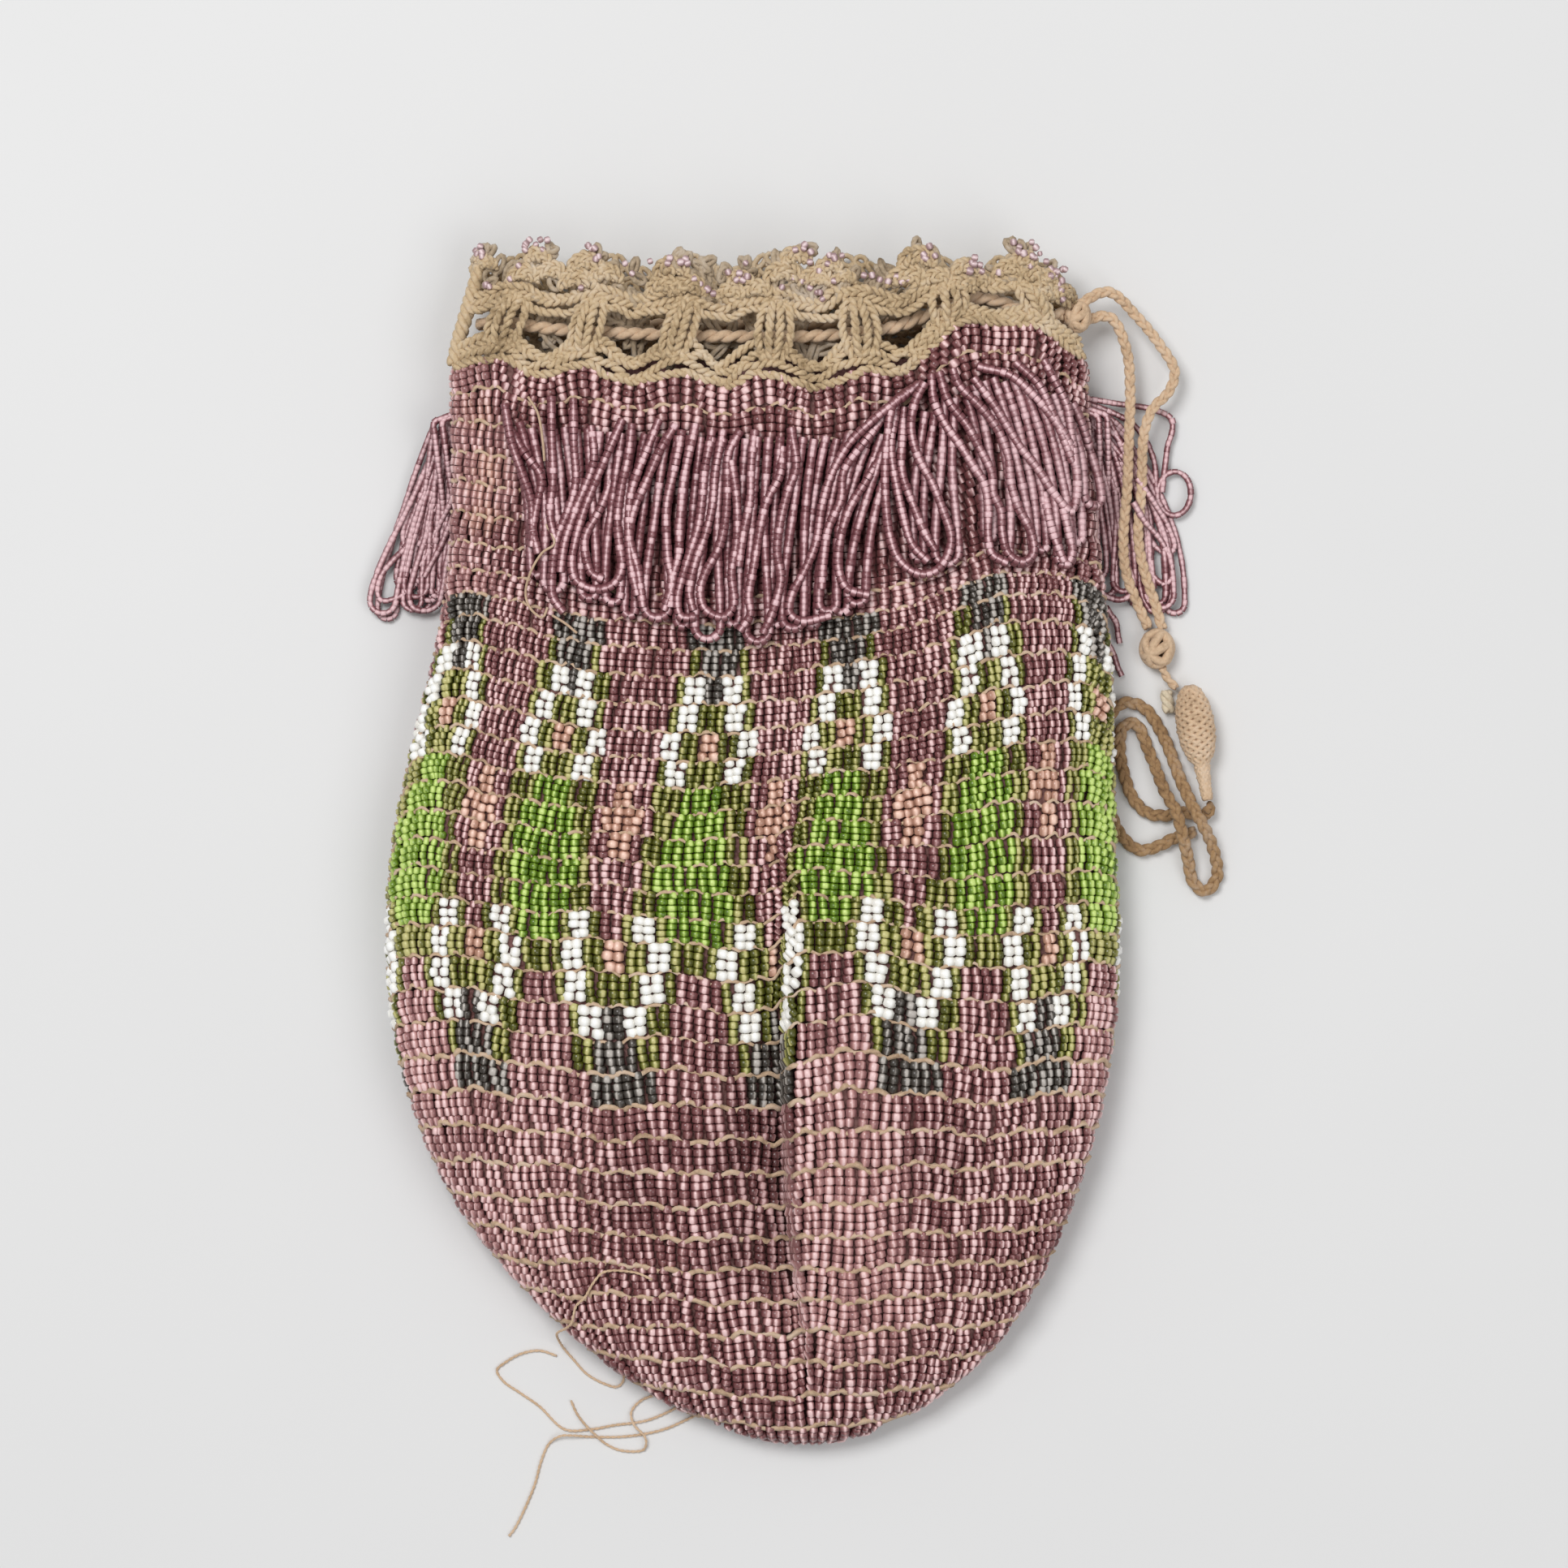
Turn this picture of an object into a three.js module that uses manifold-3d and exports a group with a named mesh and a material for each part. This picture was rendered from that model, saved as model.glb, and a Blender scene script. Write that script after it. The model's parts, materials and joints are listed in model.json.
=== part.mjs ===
// Beaded reticule lying on its back: millimetres, +Z up, +Y towards the mouth.
// Lengths up the bag are heights above the tip of its rounded base.
import * as THREE from 'three';
import { LoftGeometry } from 'three/addons/geometries/LoftGeometry.js';
import { mergeVertices } from 'three/addons/utils/BufferGeometryUtils.js';
import Module from 'manifold-3d';

// Beaded bag: rows of four-bead strands in three zones, and its outline
const BAG_LENGTH = 187.6;
const NECK_ROWS = 8;
const MOTIF_ROWS = 12;
const BASE_ROWS = 16;
const NECK_SHARE = 0.222;
const MOTIF_SHARE = 0.307;
const BELLY_WIDTH = 126;
const NECK_WIDTH = 109.6;
const BELLY_HEIGHT = 86;
const BELLY_DEPTH = 18;
const NECK_DEPTH = 14;
const BAG_WALL = 2;
const ROW_RELIEF = 0.8;
const ROW_TROUGH = 0.3;

// How the cloth lies: the lap fold, the sag of the rows and the gathers at the neck
const FOLD_DEPTH = 4.5;
const FOLD_AT = 0.09;
const DENT_AT = -0.43;
const ROW_SAG = 6;
const RIGHT_RISE = 9;
const TIP_LEAN = 7.2;
const BELLY_LEAN = 1.85;
const GATHER = 1.3;

// Crocheted heading with its posts, eyelets and scalloped top
const POSTS = 7;
const LACE_HEIGHT = 15.5;
const LACE_WALL = 1.6;
const SCALLOP = 2.5;
const LACE_DRAW = 0.3;
const EYELET_WIDTH = 8;
const EYELET_HEIGHT = 5.6;
const EYELET_LEVEL = 0.38;

// Bead fringe of hairpin loops
const STRAND = 1.4;
const FRINGE_DROP = 35;
const HEADING_ROW = 2;
const FRONT_LOOPS = 18;
const FRONT_DROP = [0.7, 0.75, 0.8, 0.89, 0.9, 0.85, 0.8];
const FRONT_SWEEP = [0.11, 0.04, -0.1, -0.05, -0.03, -0.1, -0.2];
const FAN_LOOPS = 8;
const FAN_DROP = [0.68, 0.72, 0.74, 0.81, 0.8, 0.84, 0.65, 0.46];
const FAN_SWEEP = [-0.06, -0.02, 0.1, 0.15, 0.15, 0.17, 0.135, 0.115];
const SIDE_LOOPS = 3;
const BACK_LOOPS = 8;

// Cords and threads
const DRAWSTRING = 2;
const PULL_CORD = 2.3;
const THREAD = 0.5;
const BALL = 7;
const BALL_LENGTH = 14;
const GAP = 0.3;

const { clamp, lerp, smoothstep } = THREE.MathUtils;
const ROWS = NECK_ROWS + MOTIF_ROWS + BASE_ROWS;
const NECK_ROW = (BAG_LENGTH * NECK_SHARE) / NECK_ROWS;
const MOTIF_ROW = (BAG_LENGTH * MOTIF_SHARE) / MOTIF_ROWS;
const BASE_ROW = (BAG_LENGTH * (1 - NECK_SHARE - MOTIF_SHARE)) / BASE_ROWS;

const wasm = await Module();
wasm.setup();

// Height of the thread line k rows under the mouth
function rowHeight(k) {
  const neck = clamp(k, 0, NECK_ROWS);
  const motif = clamp(k - NECK_ROWS, 0, MOTIF_ROWS);
  const base = clamp(k - NECK_ROWS - MOTIF_ROWS, 0, BASE_ROWS);
  return BAG_LENGTH - neck * NECK_ROW - motif * MOTIF_ROW - base * BASE_ROW;
}

// Outline: a pointed oval base under the belly, eased in to the neck above it
function round(h) {
  return Math.sqrt(Math.max(0, 1 - Math.max(0, 1 - h / BELLY_HEIGHT) ** 2));
}

function taper(h) {
  const up = clamp((h - BELLY_HEIGHT) / (0.94 * BAG_LENGTH - BELLY_HEIGHT), 0, 1);
  return 0.5 + 0.5 * Math.cos(Math.PI * up);
}

function halfWidth(h) {
  const drawn = LACE_DRAW * Math.max(0, h - BAG_LENGTH);
  return lerp(NECK_WIDTH, BELLY_WIDTH, taper(h)) * round(h) ** 1.15 / 2 - drawn;
}

function depth(h) {
  return lerp(NECK_DEPTH, BELLY_DEPTH, taper(h)) * round(h) ** 0.8;
}

// The tip and the neck lean to the right, the belly to the left
function centre(h) {
  const up = h / BAG_LENGTH;
  const neck = 2 * smoothstep(up, 0.52, 0.78) - 0.5 * smoothstep(up, 0.8, 1);
  const tip = TIP_LEAN * Math.max(0, 1 - h / BELLY_HEIGHT) ** 2;
  return tip + BELLY_LEAN * (neck - smoothstep(up, 0.08, 0.25));
}

// The neck lies on the fringe under it
function lift(h) {
  return (STRAND + 2 * GAP) * smoothstep(h, 0.6 * BAG_LENGTH, 0.71 * BAG_LENGTH);
}

// Rows dip in the middle and ride up at the right of the mouth
function sag(xi, h) {
  const up = clamp(h / BAG_LENGTH, 0, 1);
  const dip = ROW_SAG * (1 + 2 * smoothstep(up, 0.45, 0.7) - smoothstep(up, 0.75, 1)) / 3;
  const rise = RIGHT_RISE * Math.exp(-(((xi - 0.69) / 0.21) ** 2)) * smoothstep(up, 0.65, 1);
  return rise - Math.min(dip, 0.4 * h) * (1 - xi * xi);
}

function backSag(xi, h) {
  return lerp(sag(-1, h), sag(1, h), (xi + 1) / 2);
}

// Lap fold down the belly with its right side on top, and a soft dent to its left
function fold(xi, h) {
  const wide = halfWidth(h);
  const up = h / BELLY_HEIGHT;
  const reach = Math.sin(Math.PI * clamp(up - 0.12, 0, 1)) ** 0.7;
  const d = ((xi - FOLD_AT) * wide) / FOLD_DEPTH;
  const lap = smoothstep(d, -0.22, 0.22);
  const valley = Math.exp(-((d / 2) ** 2)) * (lap - 1);
  const ridge = 0.35 * Math.exp(-((d / 2.7) ** 2)) * lap;
  const low = Math.sin(Math.PI * clamp((up - 0.16) / 0.6, 0, 1));
  const dent = 0.5 * low * Math.exp(-((((xi - DENT_AT) * wide) / FOLD_DEPTH / 1.8) ** 2));
  return FOLD_DEPTH * (reach * (valley + ridge) - dent);
}

function gather(xi, h) {
  const near = smoothstep(h, 0.86 * BAG_LENGTH, BAG_LENGTH);
  return GATHER * near * (0.5 - 0.5 * Math.cos(Math.PI * POSTS * (xi + 1)));
}

// Points of the two faces: xi runs across from -1 to 1, out is the offset off the wall
function front(xi, h, out) {
  const bulge = Math.sqrt(Math.max(0, 1 - xi * xi)) ** 0.75;
  const edge = 0.42 * depth(h);
  const lap = out < 0 ? -out * 0.9 / halfWidth(h) : 0;
  const z = edge + (depth(h) - edge + out) * bulge + fold(xi - lap, h) + gather(xi, h);
  const x = centre(h) + xi * (halfWidth(h) + out);
  return new THREE.Vector3(x, h + sag(xi, h), lift(h) + z);
}

function back(xi, h, out) {
  const edge = 0.42 * depth(h);
  const flat = Math.min(1, 1.25 * Math.sqrt(Math.max(0, 1 - xi * xi)) ** 0.8);
  const rib = out < 0 ? -out * flat : (ROW_RELIEF - out) * (1 - flat);
  const x = centre(h) + xi * (halfWidth(h) + out);
  return new THREE.Vector3(x, h + backSag(xi, h), lift(h) + edge * (1 - flat) + rib);
}

// Stations across a face, crowded towards its two edges
function stations(count) {
  return Array.from({ length: count + 1 }, (_, i) => {
    const even = (2 * i) / count - 1;
    return lerp(even, Math.sin((Math.PI * even) / 2), 0.6);
  });
}

function ring(across, under, height, out) {
  const over = across.map((xi) => front(xi, height(xi, sag), out));
  const below = under.slice(1, -1).map((xi) => back(xi, height(xi, backSag), out));
  return [...over.reverse(), ...below];
}

// Stations of the bag crowd in at the lap fold as well
function bagRing(h, out) {
  const lap = out < 0 ? -out * 0.9 / halfWidth(h) : 0;
  const near = (0.25 * FOLD_DEPTH) / BELLY_WIDTH;
  const step = [FOLD_AT + lap - near, FOLD_AT + lap + 2 * near];
  const across = stations(22).filter((xi) => Math.abs(xi - FOLD_AT) > 0.03);
  const all = [...across, ...step].sort((a, b) => a - b);
  return ring(all, stations(9), () => h, out);
}

function solid(geometry) {
  const bare = new THREE.BufferGeometry();
  bare.setAttribute('position', geometry.attributes.position);
  bare.setIndex(geometry.index);
  const merged = mergeVertices(bare, 1e-3);
  return new wasm.Manifold(new wasm.Mesh({
    numProp: 3,
    vertProperties: new Float32Array(merged.attributes.position.array),
    triVerts: new Uint32Array(merged.index.array),
  }));
}

function faceted(shape) {
  const mesh = shape.getMesh();
  const geometry = new THREE.BufferGeometry();
  geometry.setAttribute('position', new THREE.BufferAttribute(new Float32Array(mesh.vertProperties), 3));
  geometry.setIndex(new THREE.BufferAttribute(new Uint32Array(mesh.triVerts), 1));
  geometry.computeVertexNormals();
  return geometry;
}

const bag = new THREE.Group();

function add(name, geometry, color, roughness) {
  const material = new THREE.MeshStandardMaterial({ color, roughness, metalness: 0 });
  const mesh = new THREE.Mesh(geometry, material);
  mesh.name = name;
  bag.add(mesh);
  return mesh;
}

// Beaded shell: inner wall up from a closed base, over the mouth and down the ridged outside
const shell = [];
const INSIDE_BASE = 0.055 * BAG_LENGTH;
const floor = bagRing(INSIDE_BASE, -BAG_WALL);
const floorMiddle = new THREE.Box3().setFromPoints(floor).getCenter(new THREE.Vector3());
shell.push(floor.map(() => floorMiddle));
for (let i = 0; i <= 9; i += 1) {
  shell.push(bagRing(lerp(INSIDE_BASE, BAG_LENGTH, (i / 9) ** 1.15), -BAG_WALL));
}
for (let k = 0; k < ROWS; k += 1) {
  const top = rowHeight(k);
  shell.push(bagRing(top, k ? ROW_TROUGH : 0));
  shell.push(bagRing(lerp(top, rowHeight(k + 1), 0.5), ROW_RELIEF));
}
shell.push(bagRing(0.12 * BASE_ROW, 0));
add('beaded_bag', new LoftGeometry(shell, { capEnd: true }), 0x8a6462, 0.4);

// Heading: a flattened tube with a scalloped top, its eyelets cut between the posts
function laceHeight(level, xi, droop) {
  const low = droop(xi, BAG_LENGTH);
  const top = LACE_HEIGHT + SCALLOP * (0.5 - 0.5 * Math.cos(Math.PI * POSTS * (xi + 1)));
  return BAG_LENGTH + lerp(GAP + low, top, level) - low;
}

function laceRing(level, out) {
  return ring(stations(42), stations(21), (xi, droop) => laceHeight(level, xi, droop), out);
}

function laceFront(xi, out) {
  return front(xi, laceHeight(EYELET_LEVEL, xi, sag), out);
}

function laceBack(xi, out) {
  return back(xi, laceHeight(EYELET_LEVEL, xi, backSag), out);
}

const inside = -0.2 - LACE_WALL;
const tube = [
  laceRing(0, inside), laceRing(0.5, inside), laceRing(1, inside),
  laceRing(1, -0.2), laceRing(0.5, -0.2), laceRing(0, -0.2), laceRing(0, inside),
];
let lace = solid(new LoftGeometry(tube));

function eyelet(at, long) {
  const hole = new THREE.BoxGeometry(EYELET_WIDTH, EYELET_HEIGHT, long);
  hole.translate(at.x, at.y, at.z);
  lace = lace.subtract(solid(hole));
}

eyelet(laceFront(-1, 0), 0.5 * NECK_DEPTH);
eyelet(laceFront(1, 0), 0.5 * NECK_DEPTH);
for (let m = 1; m < POSTS; m += 1) {
  eyelet(laceFront((2 * m) / POSTS - 1, 0), NECK_DEPTH);
  eyelet(laceBack((2 * m) / POSTS - 1, 0), 0.8 * NECK_DEPTH);
}
add('lace_header', faceted(lace), 0xa58b6b, 0.9);

// Round sections swept along a curve
function cord(curve, diameter, steps, sides) {
  const circle = new THREE.EllipseCurve(0, 0, diameter / 2, diameter / 2);
  const section = new THREE.Shape(circle.getPoints(sides).slice(1));
  return new THREE.ExtrudeGeometry(section, { steps, extrudePath: curve });
}

function route(points) {
  const list = points.map(([x, y, z]) => new THREE.Vector3(x, y, z));
  return new THREE.CatmullRomCurve3(list, false, 'centripetal');
}

// Drawstring: in at the right corner, round behind the posts and out again beside itself
const runOut = inside - GAP - DRAWSTRING / 2;
const corner = laceFront(1, 0);
const beside = new THREE.Vector3(0, 0.6 * DRAWSTRING, 0.5 * DRAWSTRING);
const inner = corner.clone().setX(corner.x - 1.2 * DRAWSTRING);
const exit = corner.clone().setX(corner.x - 0.95 * DRAWSTRING);
const run = [
  inner.clone().add(beside),
  laceFront(0.95, runOut - 0.4 * DRAWSTRING),
];
for (let m = POSTS - 1; m >= 1; m -= 1) {
  run.push(laceFront((2 * m) / POSTS - 1, runOut));
}
run.push(laceFront(-0.93, runOut), laceFront(-1, runOut), laceBack(-0.93, runOut - 0.6 * DRAWSTRING));
for (let m = 1; m < POSTS; m += 1) {
  run.push(laceBack((2 * m) / POSTS - 1, runOut));
}
run.push(
  laceBack(0.91, runOut - 0.8 * DRAWSTRING),
  inner.clone().sub(beside),
);
const runCurve = new THREE.CatmullRomCurve3(run, false, 'centripetal');
add('drawstring_run', cord(runCurve, DRAWSTRING, 40, 8), 0xbca087, 0.85);

// Free tails, knot, ball tassel and pull loop, lying on the table at the right
const tailOuter = route([
  exit.clone().add(beside).toArray(), [59.4, 199.4, 7.8], [64.3, 195.6, 5.8],
  [68.8, 190.2, 5], [71.2, 186, 4.6], [70.2, 182.4, 4.6], [67.4, 179.4, 4.8], [65.9, 175.2, 4.8],
  [65.5, 165.6, 4.4], [65, 157.2, 3.2], [66, 151.6, 2.9], [67.9, 146, 2.3], [69.2, 141.4, 2.3],
]);
const tailInner = route([
  exit.clone().sub(beside).toArray(), [59.8, 195.2, 6], [62.8, 189.6, 5.2],
  [63.5, 182.4, 4.8], [63.3, 175.2, 4.8], [63, 165.6, 4.4], [62.4, 157.2, 3.2], [62.8, 151.6, 2.9],
  [64.8, 146, 2.3], [66.8, 141.6, 2.3],
]);
add('drawstring_tail_outer', cord(tailOuter, DRAWSTRING, 18, 8), 0xbca087, 0.85);
add('drawstring_tail_inner', cord(tailInner, DRAWSTRING, 15, 8), 0xbca087, 0.85);

const knot = new THREE.SphereGeometry(1, 12, 8);
knot.scale(2.9, 3.1, 2.5);
add('drawstring_knot', knot, 0xc2a489, 0.85).position.set(68.3, 137.9, 2.55);

const link = route([[69.2, 134.6, 2.2], [70.2, 132.6, 2.2], [71.6, 131.1, 2.6]]);
add('tassel_link', cord(link, 1.6, 4, 8), 0xb58f7c, 0.85);

const stub = new THREE.CapsuleGeometry(1.15, 1.3, 3, 8);
const stubMesh = add('cord_stub', stub, 0xe2d3b8, 0.8);
stubMesh.position.set(70.2, 128.7, 1.17);
stubMesh.rotation.z = -0.12;

const bulb = [[0, 0], [1.1, 0], [1.2, 3], [1.5, 5.6]];
for (let i = 1; i <= 10; i += 1) {
  const a = (Math.PI * i) / 10;
  const low = i < 2 ? 1.55 : (BALL / 2) * Math.sin(a) ** 0.8;
  bulb.push([i === 10 ? 0 : low, 6.2 + (BALL_LENGTH * (1 - Math.cos(a))) / 2]);
}
const bulbGeometry = new THREE.LatheGeometry(bulb.map(([r, t]) => new THREE.Vector2(r, t)), 12);
const ball = add('tassel_ball', bulbGeometry, 0xb49578, 0.85);
ball.rotation.z = 0.16;
ball.position.set(77, 111.5, BALL / 2 + 0.05);

const pull = route([
  [77.1, 110.7, 3.1], [77.4, 109.7, 2.2], [76.4, 108.9, 1.2], [74.6, 109.2, 1.2], [72.9, 109.4, 1.2],
  [69.9, 108.9, 1.2], [66.8, 109.3, 1.2], [64.4, 111.6, 1.2], [62.7, 115.9, 1.2], [61.9, 121.1, 1.2],
  [62.6, 124.4, 1.2], [64.6, 124.9, 1.2], [67.1, 119.8, 1.2], [69.7, 113, 2.6], [71.6, 109.4, 3.9],
  [72.6, 105.6, 4], [73.7, 101.4, 2.4], [74.6, 97.5, 1.2], [76.7, 95.7, 1.2], [78.8, 98.1, 1.2],
  [78, 103.3, 2.6], [76.4, 106.8, 3.9], [74.7, 109.9, 4], [72.6, 114.6, 2.4], [69.4, 122.9, 1.2],
  [66, 127.7, 1.2], [62.3, 128.4, 1.2], [59.6, 125, 1.2], [59.2, 119.4, 1.2], [60, 111, 1.2],
  [61.9, 105.8, 1.2], [65.2, 102.9, 1.2], [68.7, 103.6, 1.2], [71.5, 105, 1.2], [75, 106, 1.2],
]);
add('pull_loop', cord(pull, PULL_CORD, 44, 8), 0xa1855f, 0.85);

// Broken ends of the sewing thread at the base
const strayOne = route([
  [-12.2, 7.6, 0.36], [-14.4, 6.2, 0.3], [-20.2, 3.6, 0.3],
  [-26.1, 2.7, 0.3], [-30.1, 2, 0.3], [-34.7, 2, 0.3],
  [-39.1, 6, 0.3], [-42.4, 8.3, 0.3], [-45.4, 10.4, 0.3], [-46.5, 12.3, 0.3], [-45.1, 13.6, 0.3],
  [-42.4, 15.1, 0.3], [-39.1, 15.7, 0.3], [-36.1, 14.8, 0.3],
]);
const strayTwo = route([
  [-9, 5.3, 0.4], [-11.8, 4.4, 0.3], [-16.8, 2.2, 0.3],
  [-20.2, 1.3, 0.3], [-24.8, 0.7, 0.3], [-30.1, 0.7, 0.3],
  [-33.5, 1, 1], [-35.4, 0.9, 1], [-37.4, -0.5, 0.3], [-38.8, -3.6, 0.3], [-39.8, -7.3, 0.3],
  [-41.4, -11.3, 0.3], [-43.4, -15.3, 0.3], [-44.4, -16.6, 0.3],
]);
const strayThree = route([
  [-14.4, 9.1, 0.42], [-16.6, 7.9, 0.3], [-18.5, 8, 0.3], [-21.4, 7, 0.3], [-23.1, 5, 0.5], [-22.6, 2.9, 1.1],
  [-20.6, 0.6, 1.2], [-20.9, -1.5, 0.4], [-24.8, -1.7, 0.3], [-27.4, -0.6, 0.4], [-29.4, 1.2, 1.1],
  [-31.2, 3, 1], [-32.6, 4.8, 0.4], [-33.6, 7, 0.3],
]);
const onBelly = (x, y) => [x, y, restOn(x, y) - STRAND / 2 + THREAD / 2];
const strayFour = route([
  onBelly(-18.8, 29.3), onBelly(-21.2, 30.4), onBelly(-23.5, 30.8), onBelly(-25.5, 30.9),
  onBelly(-27.2, 30.5), onBelly(-28.8, 28.6), onBelly(-30.1, 26.2), onBelly(-31.6, 24.6),
  onBelly(-32, 23), onBelly(-32.4, 21.4), [-34.1, 20.5, 9], [-35.7, 19.4, 6.6],
  [-35.6, 17.8, 3], [-34.7, 16, 0.7], [-33.2, 14.2, 0.3], [-30.8, 11.6, 0.3],
  [-27.7, 9.9, 0.3], [-25.6, 9.4, 0.3], [-24.6, 10.2, 0.3], [-24.3, 11.6, 0.3],
]);
add('loose_thread_1', cord(strayOne, THREAD, 17, 5), 0xa88f70, 0.9);
add('loose_thread_2', cord(strayTwo, THREAD, 17, 5), 0xa88f70, 0.9);
add('loose_thread_3', cord(strayThree, THREAD, 17, 5), 0xa88f70, 0.9);
add('loose_thread_4', cord(strayFour, THREAD, 22, 5), 0xa88f70, 0.9);

// Height of the bead crests of the front face under a point
function restOn(x, y) {
  let h = y;
  let xi = 0;
  for (let i = 0; i < 4; i += 1) {
    xi = clamp((x - centre(h)) / halfWidth(h), -1, 1);
    h = y - sag(xi, h);
  }
  return front(xi, h, ROW_RELIEF).z + GAP + STRAND / 2;
}

// One strand down, round the bottom bead and up again beside itself
class Hairpin extends THREE.Curve {
  constructor(top, foot, near, wide, height, bow) {
    super();
    Object.assign(this, { top, foot, near, wide, height, bow });
  }

  getPoint(t, target = new THREE.Vector3()) {
    const side = t < 0.5 ? -1 : 1;
    const leg = Math.min(1, Math.min(t, 1 - t) / 0.32);
    const turn = clamp((t - 0.32) / 0.36, 0, 1) * Math.PI;
    const swing = (this.foot.x - this.top.x) * this.bow * (1 - leg) ** (this.bow - 1);
    const axis = new THREE.Vector2(swing, this.foot.y - this.top.y).normalize();
    const spread = lerp(this.near, this.wide, smoothstep(leg, 0.35, 1));
    const across = leg < 1 ? side * spread : -spread * Math.cos(turn);
    const along = leg < 1 ? 0 : spread * Math.sin(turn);
    const ease = 1 - (1 - leg) ** this.bow;
    const x = lerp(this.top.x, this.foot.x, ease) - axis.y * across + axis.x * along;
    const y = lerp(this.top.y, this.foot.y, leg) + axis.x * across + axis.y * along;
    return target.set(x, y, this.height(x, y, leg));
  }

  getPointAt(u, target) {
    return this.getPoint(u, target);
  }

  getTangentAt(u, target) {
    return this.getTangent(u, target);
  }
}

function hairpin(name, top, foot, near, wide, height, bow = 2) {
  const curve = new Hairpin(new THREE.Vector2(...top), new THREE.Vector2(...foot), near, wide, height, bow);
  add(name, cord(curve, STRAND, 11, 5), 0x8c6668, 0.35);
}

const label = (i) => String(i + 1).padStart(2, '0');
const layer = (i, leg) => (i % 2) * (STRAND + GAP) * smoothstep(leg, 0, 0.25);
const headingHeight = rowHeight(HEADING_ROW);

// Value at a share t of the way through a list of evenly spaced values
function along(values, t) {
  const at = t * (values.length - 1);
  const i = Math.min(Math.floor(at), values.length - 2);
  return lerp(values[i], values[i + 1], at - i);
}

// Front fringe in two layers, the upper one in wide drops where there is room
function frontFringe(kind, count, from, to, drop, sweep) {
  const pitch = ((to - from) * halfWidth(headingHeight)) / count;
  const heads = [];
  const feet = [];
  for (let i = 0; i < count; i += 1) {
    const part = (i + 0.5) / count;
    const head = front(lerp(from, to, part), headingHeight, ROW_RELIEF);
    const low = along(drop, i / (count - 1)) + 0.03 * Math.sin(2.4 * i);
    heads.push([head.x, head.y]);
    feet.push([head.x + FRINGE_DROP * along(sweep, i / (count - 1)), head.y - FRINGE_DROP * low]);
  }
  for (let i = 0; i < count; i += 1) {
    const left = i > 0 ? feet[i][0] - feet[i - 1][0] : pitch;
    const right = i < count - 1 ? feet[i + 1][0] - feet[i][0] : pitch;
    const near = pitch / 4;
    const wide = i % 2 ? Math.max(near, 0.58 * Math.min(pitch, left, right)) : near;
    const rest = (x, y, leg) => restOn(x, y) + layer(i, leg);
    hairpin(`${kind}_${label(i)}`, heads[i], feet[i], near, wide, rest);
  }
}

frontFringe('fringe_front', FRONT_LOOPS, -0.82, 0.43, FRONT_DROP, FRONT_SWEEP);
frontFringe('fringe_fan', FAN_LOOPS, 0.46, 0.955, FAN_DROP, FAN_SWEEP);

// Fringe that has slid off both sides and lies on the table
for (const [kind, hand, reach, bow, table] of [
  ['fringe_left', -1, 0.27, 1.4, 0.8], ['fringe_right', 1, 0.37, 2.5, 0.55],
]) {
  const head = front(hand, headingHeight, ROW_RELIEF);
  for (let i = 0; i < SIDE_LOOPS; i += 1) {
    const start = head.x + hand * (GAP + 1.1 * STRAND);
    const out = FRINGE_DROP * reach - 4.3 * STRAND * i;
    const foot = [start + hand * out, head.y - FRINGE_DROP + STRAND * (2 + i)];
    const high = head.z - GAP - 1.85 * STRAND * (SIDE_LOOPS - 1 - i);
    const fall = (x, y, leg) => lerp(high, STRAND / 2 + 0.02, smoothstep(leg, 0, table));
    hairpin(`${kind}_${label(i)}`, [start, head.y], foot, 0.54 * STRAND, 1.2 * STRAND, fall, bow);
  }
}

// Fringe of the back, flat on the table under the neck
for (let i = 0; i < BACK_LOOPS; i += 1) {
  const head = back(lerp(-0.72, 0.72, (i + 0.5) / BACK_LOOPS), headingHeight, ROW_RELIEF);
  const low = head.y - FRINGE_DROP * (1 + 0.035 * Math.sin(2.1 * i));
  const lie = () => STRAND / 2 + 0.02;
  hairpin(`fringe_back_${label(i)}`, [head.x, head.y], [head.x, low], 0.7 * STRAND, 1.4 * STRAND, lie);
}

// The bag without its cords stands centred over the origin
const free = /tail|knot|tassel|stub|pull|thread/;
const box = new THREE.Box3();
bag.children.filter((mesh) => !free.test(mesh.name)).forEach((mesh) => box.expandByObject(mesh));
const middle = box.getCenter(new THREE.Vector3());
bag.position.set(-middle.x, -middle.y, 0);

const reticule = new THREE.Group();
reticule.name = 'beaded_reticule';
reticule.add(bag);

export default reticule;
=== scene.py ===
"""Beaded reticule lying on a table: rows and fringe of glass beads, a crocheted heading and its cords."""

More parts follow.
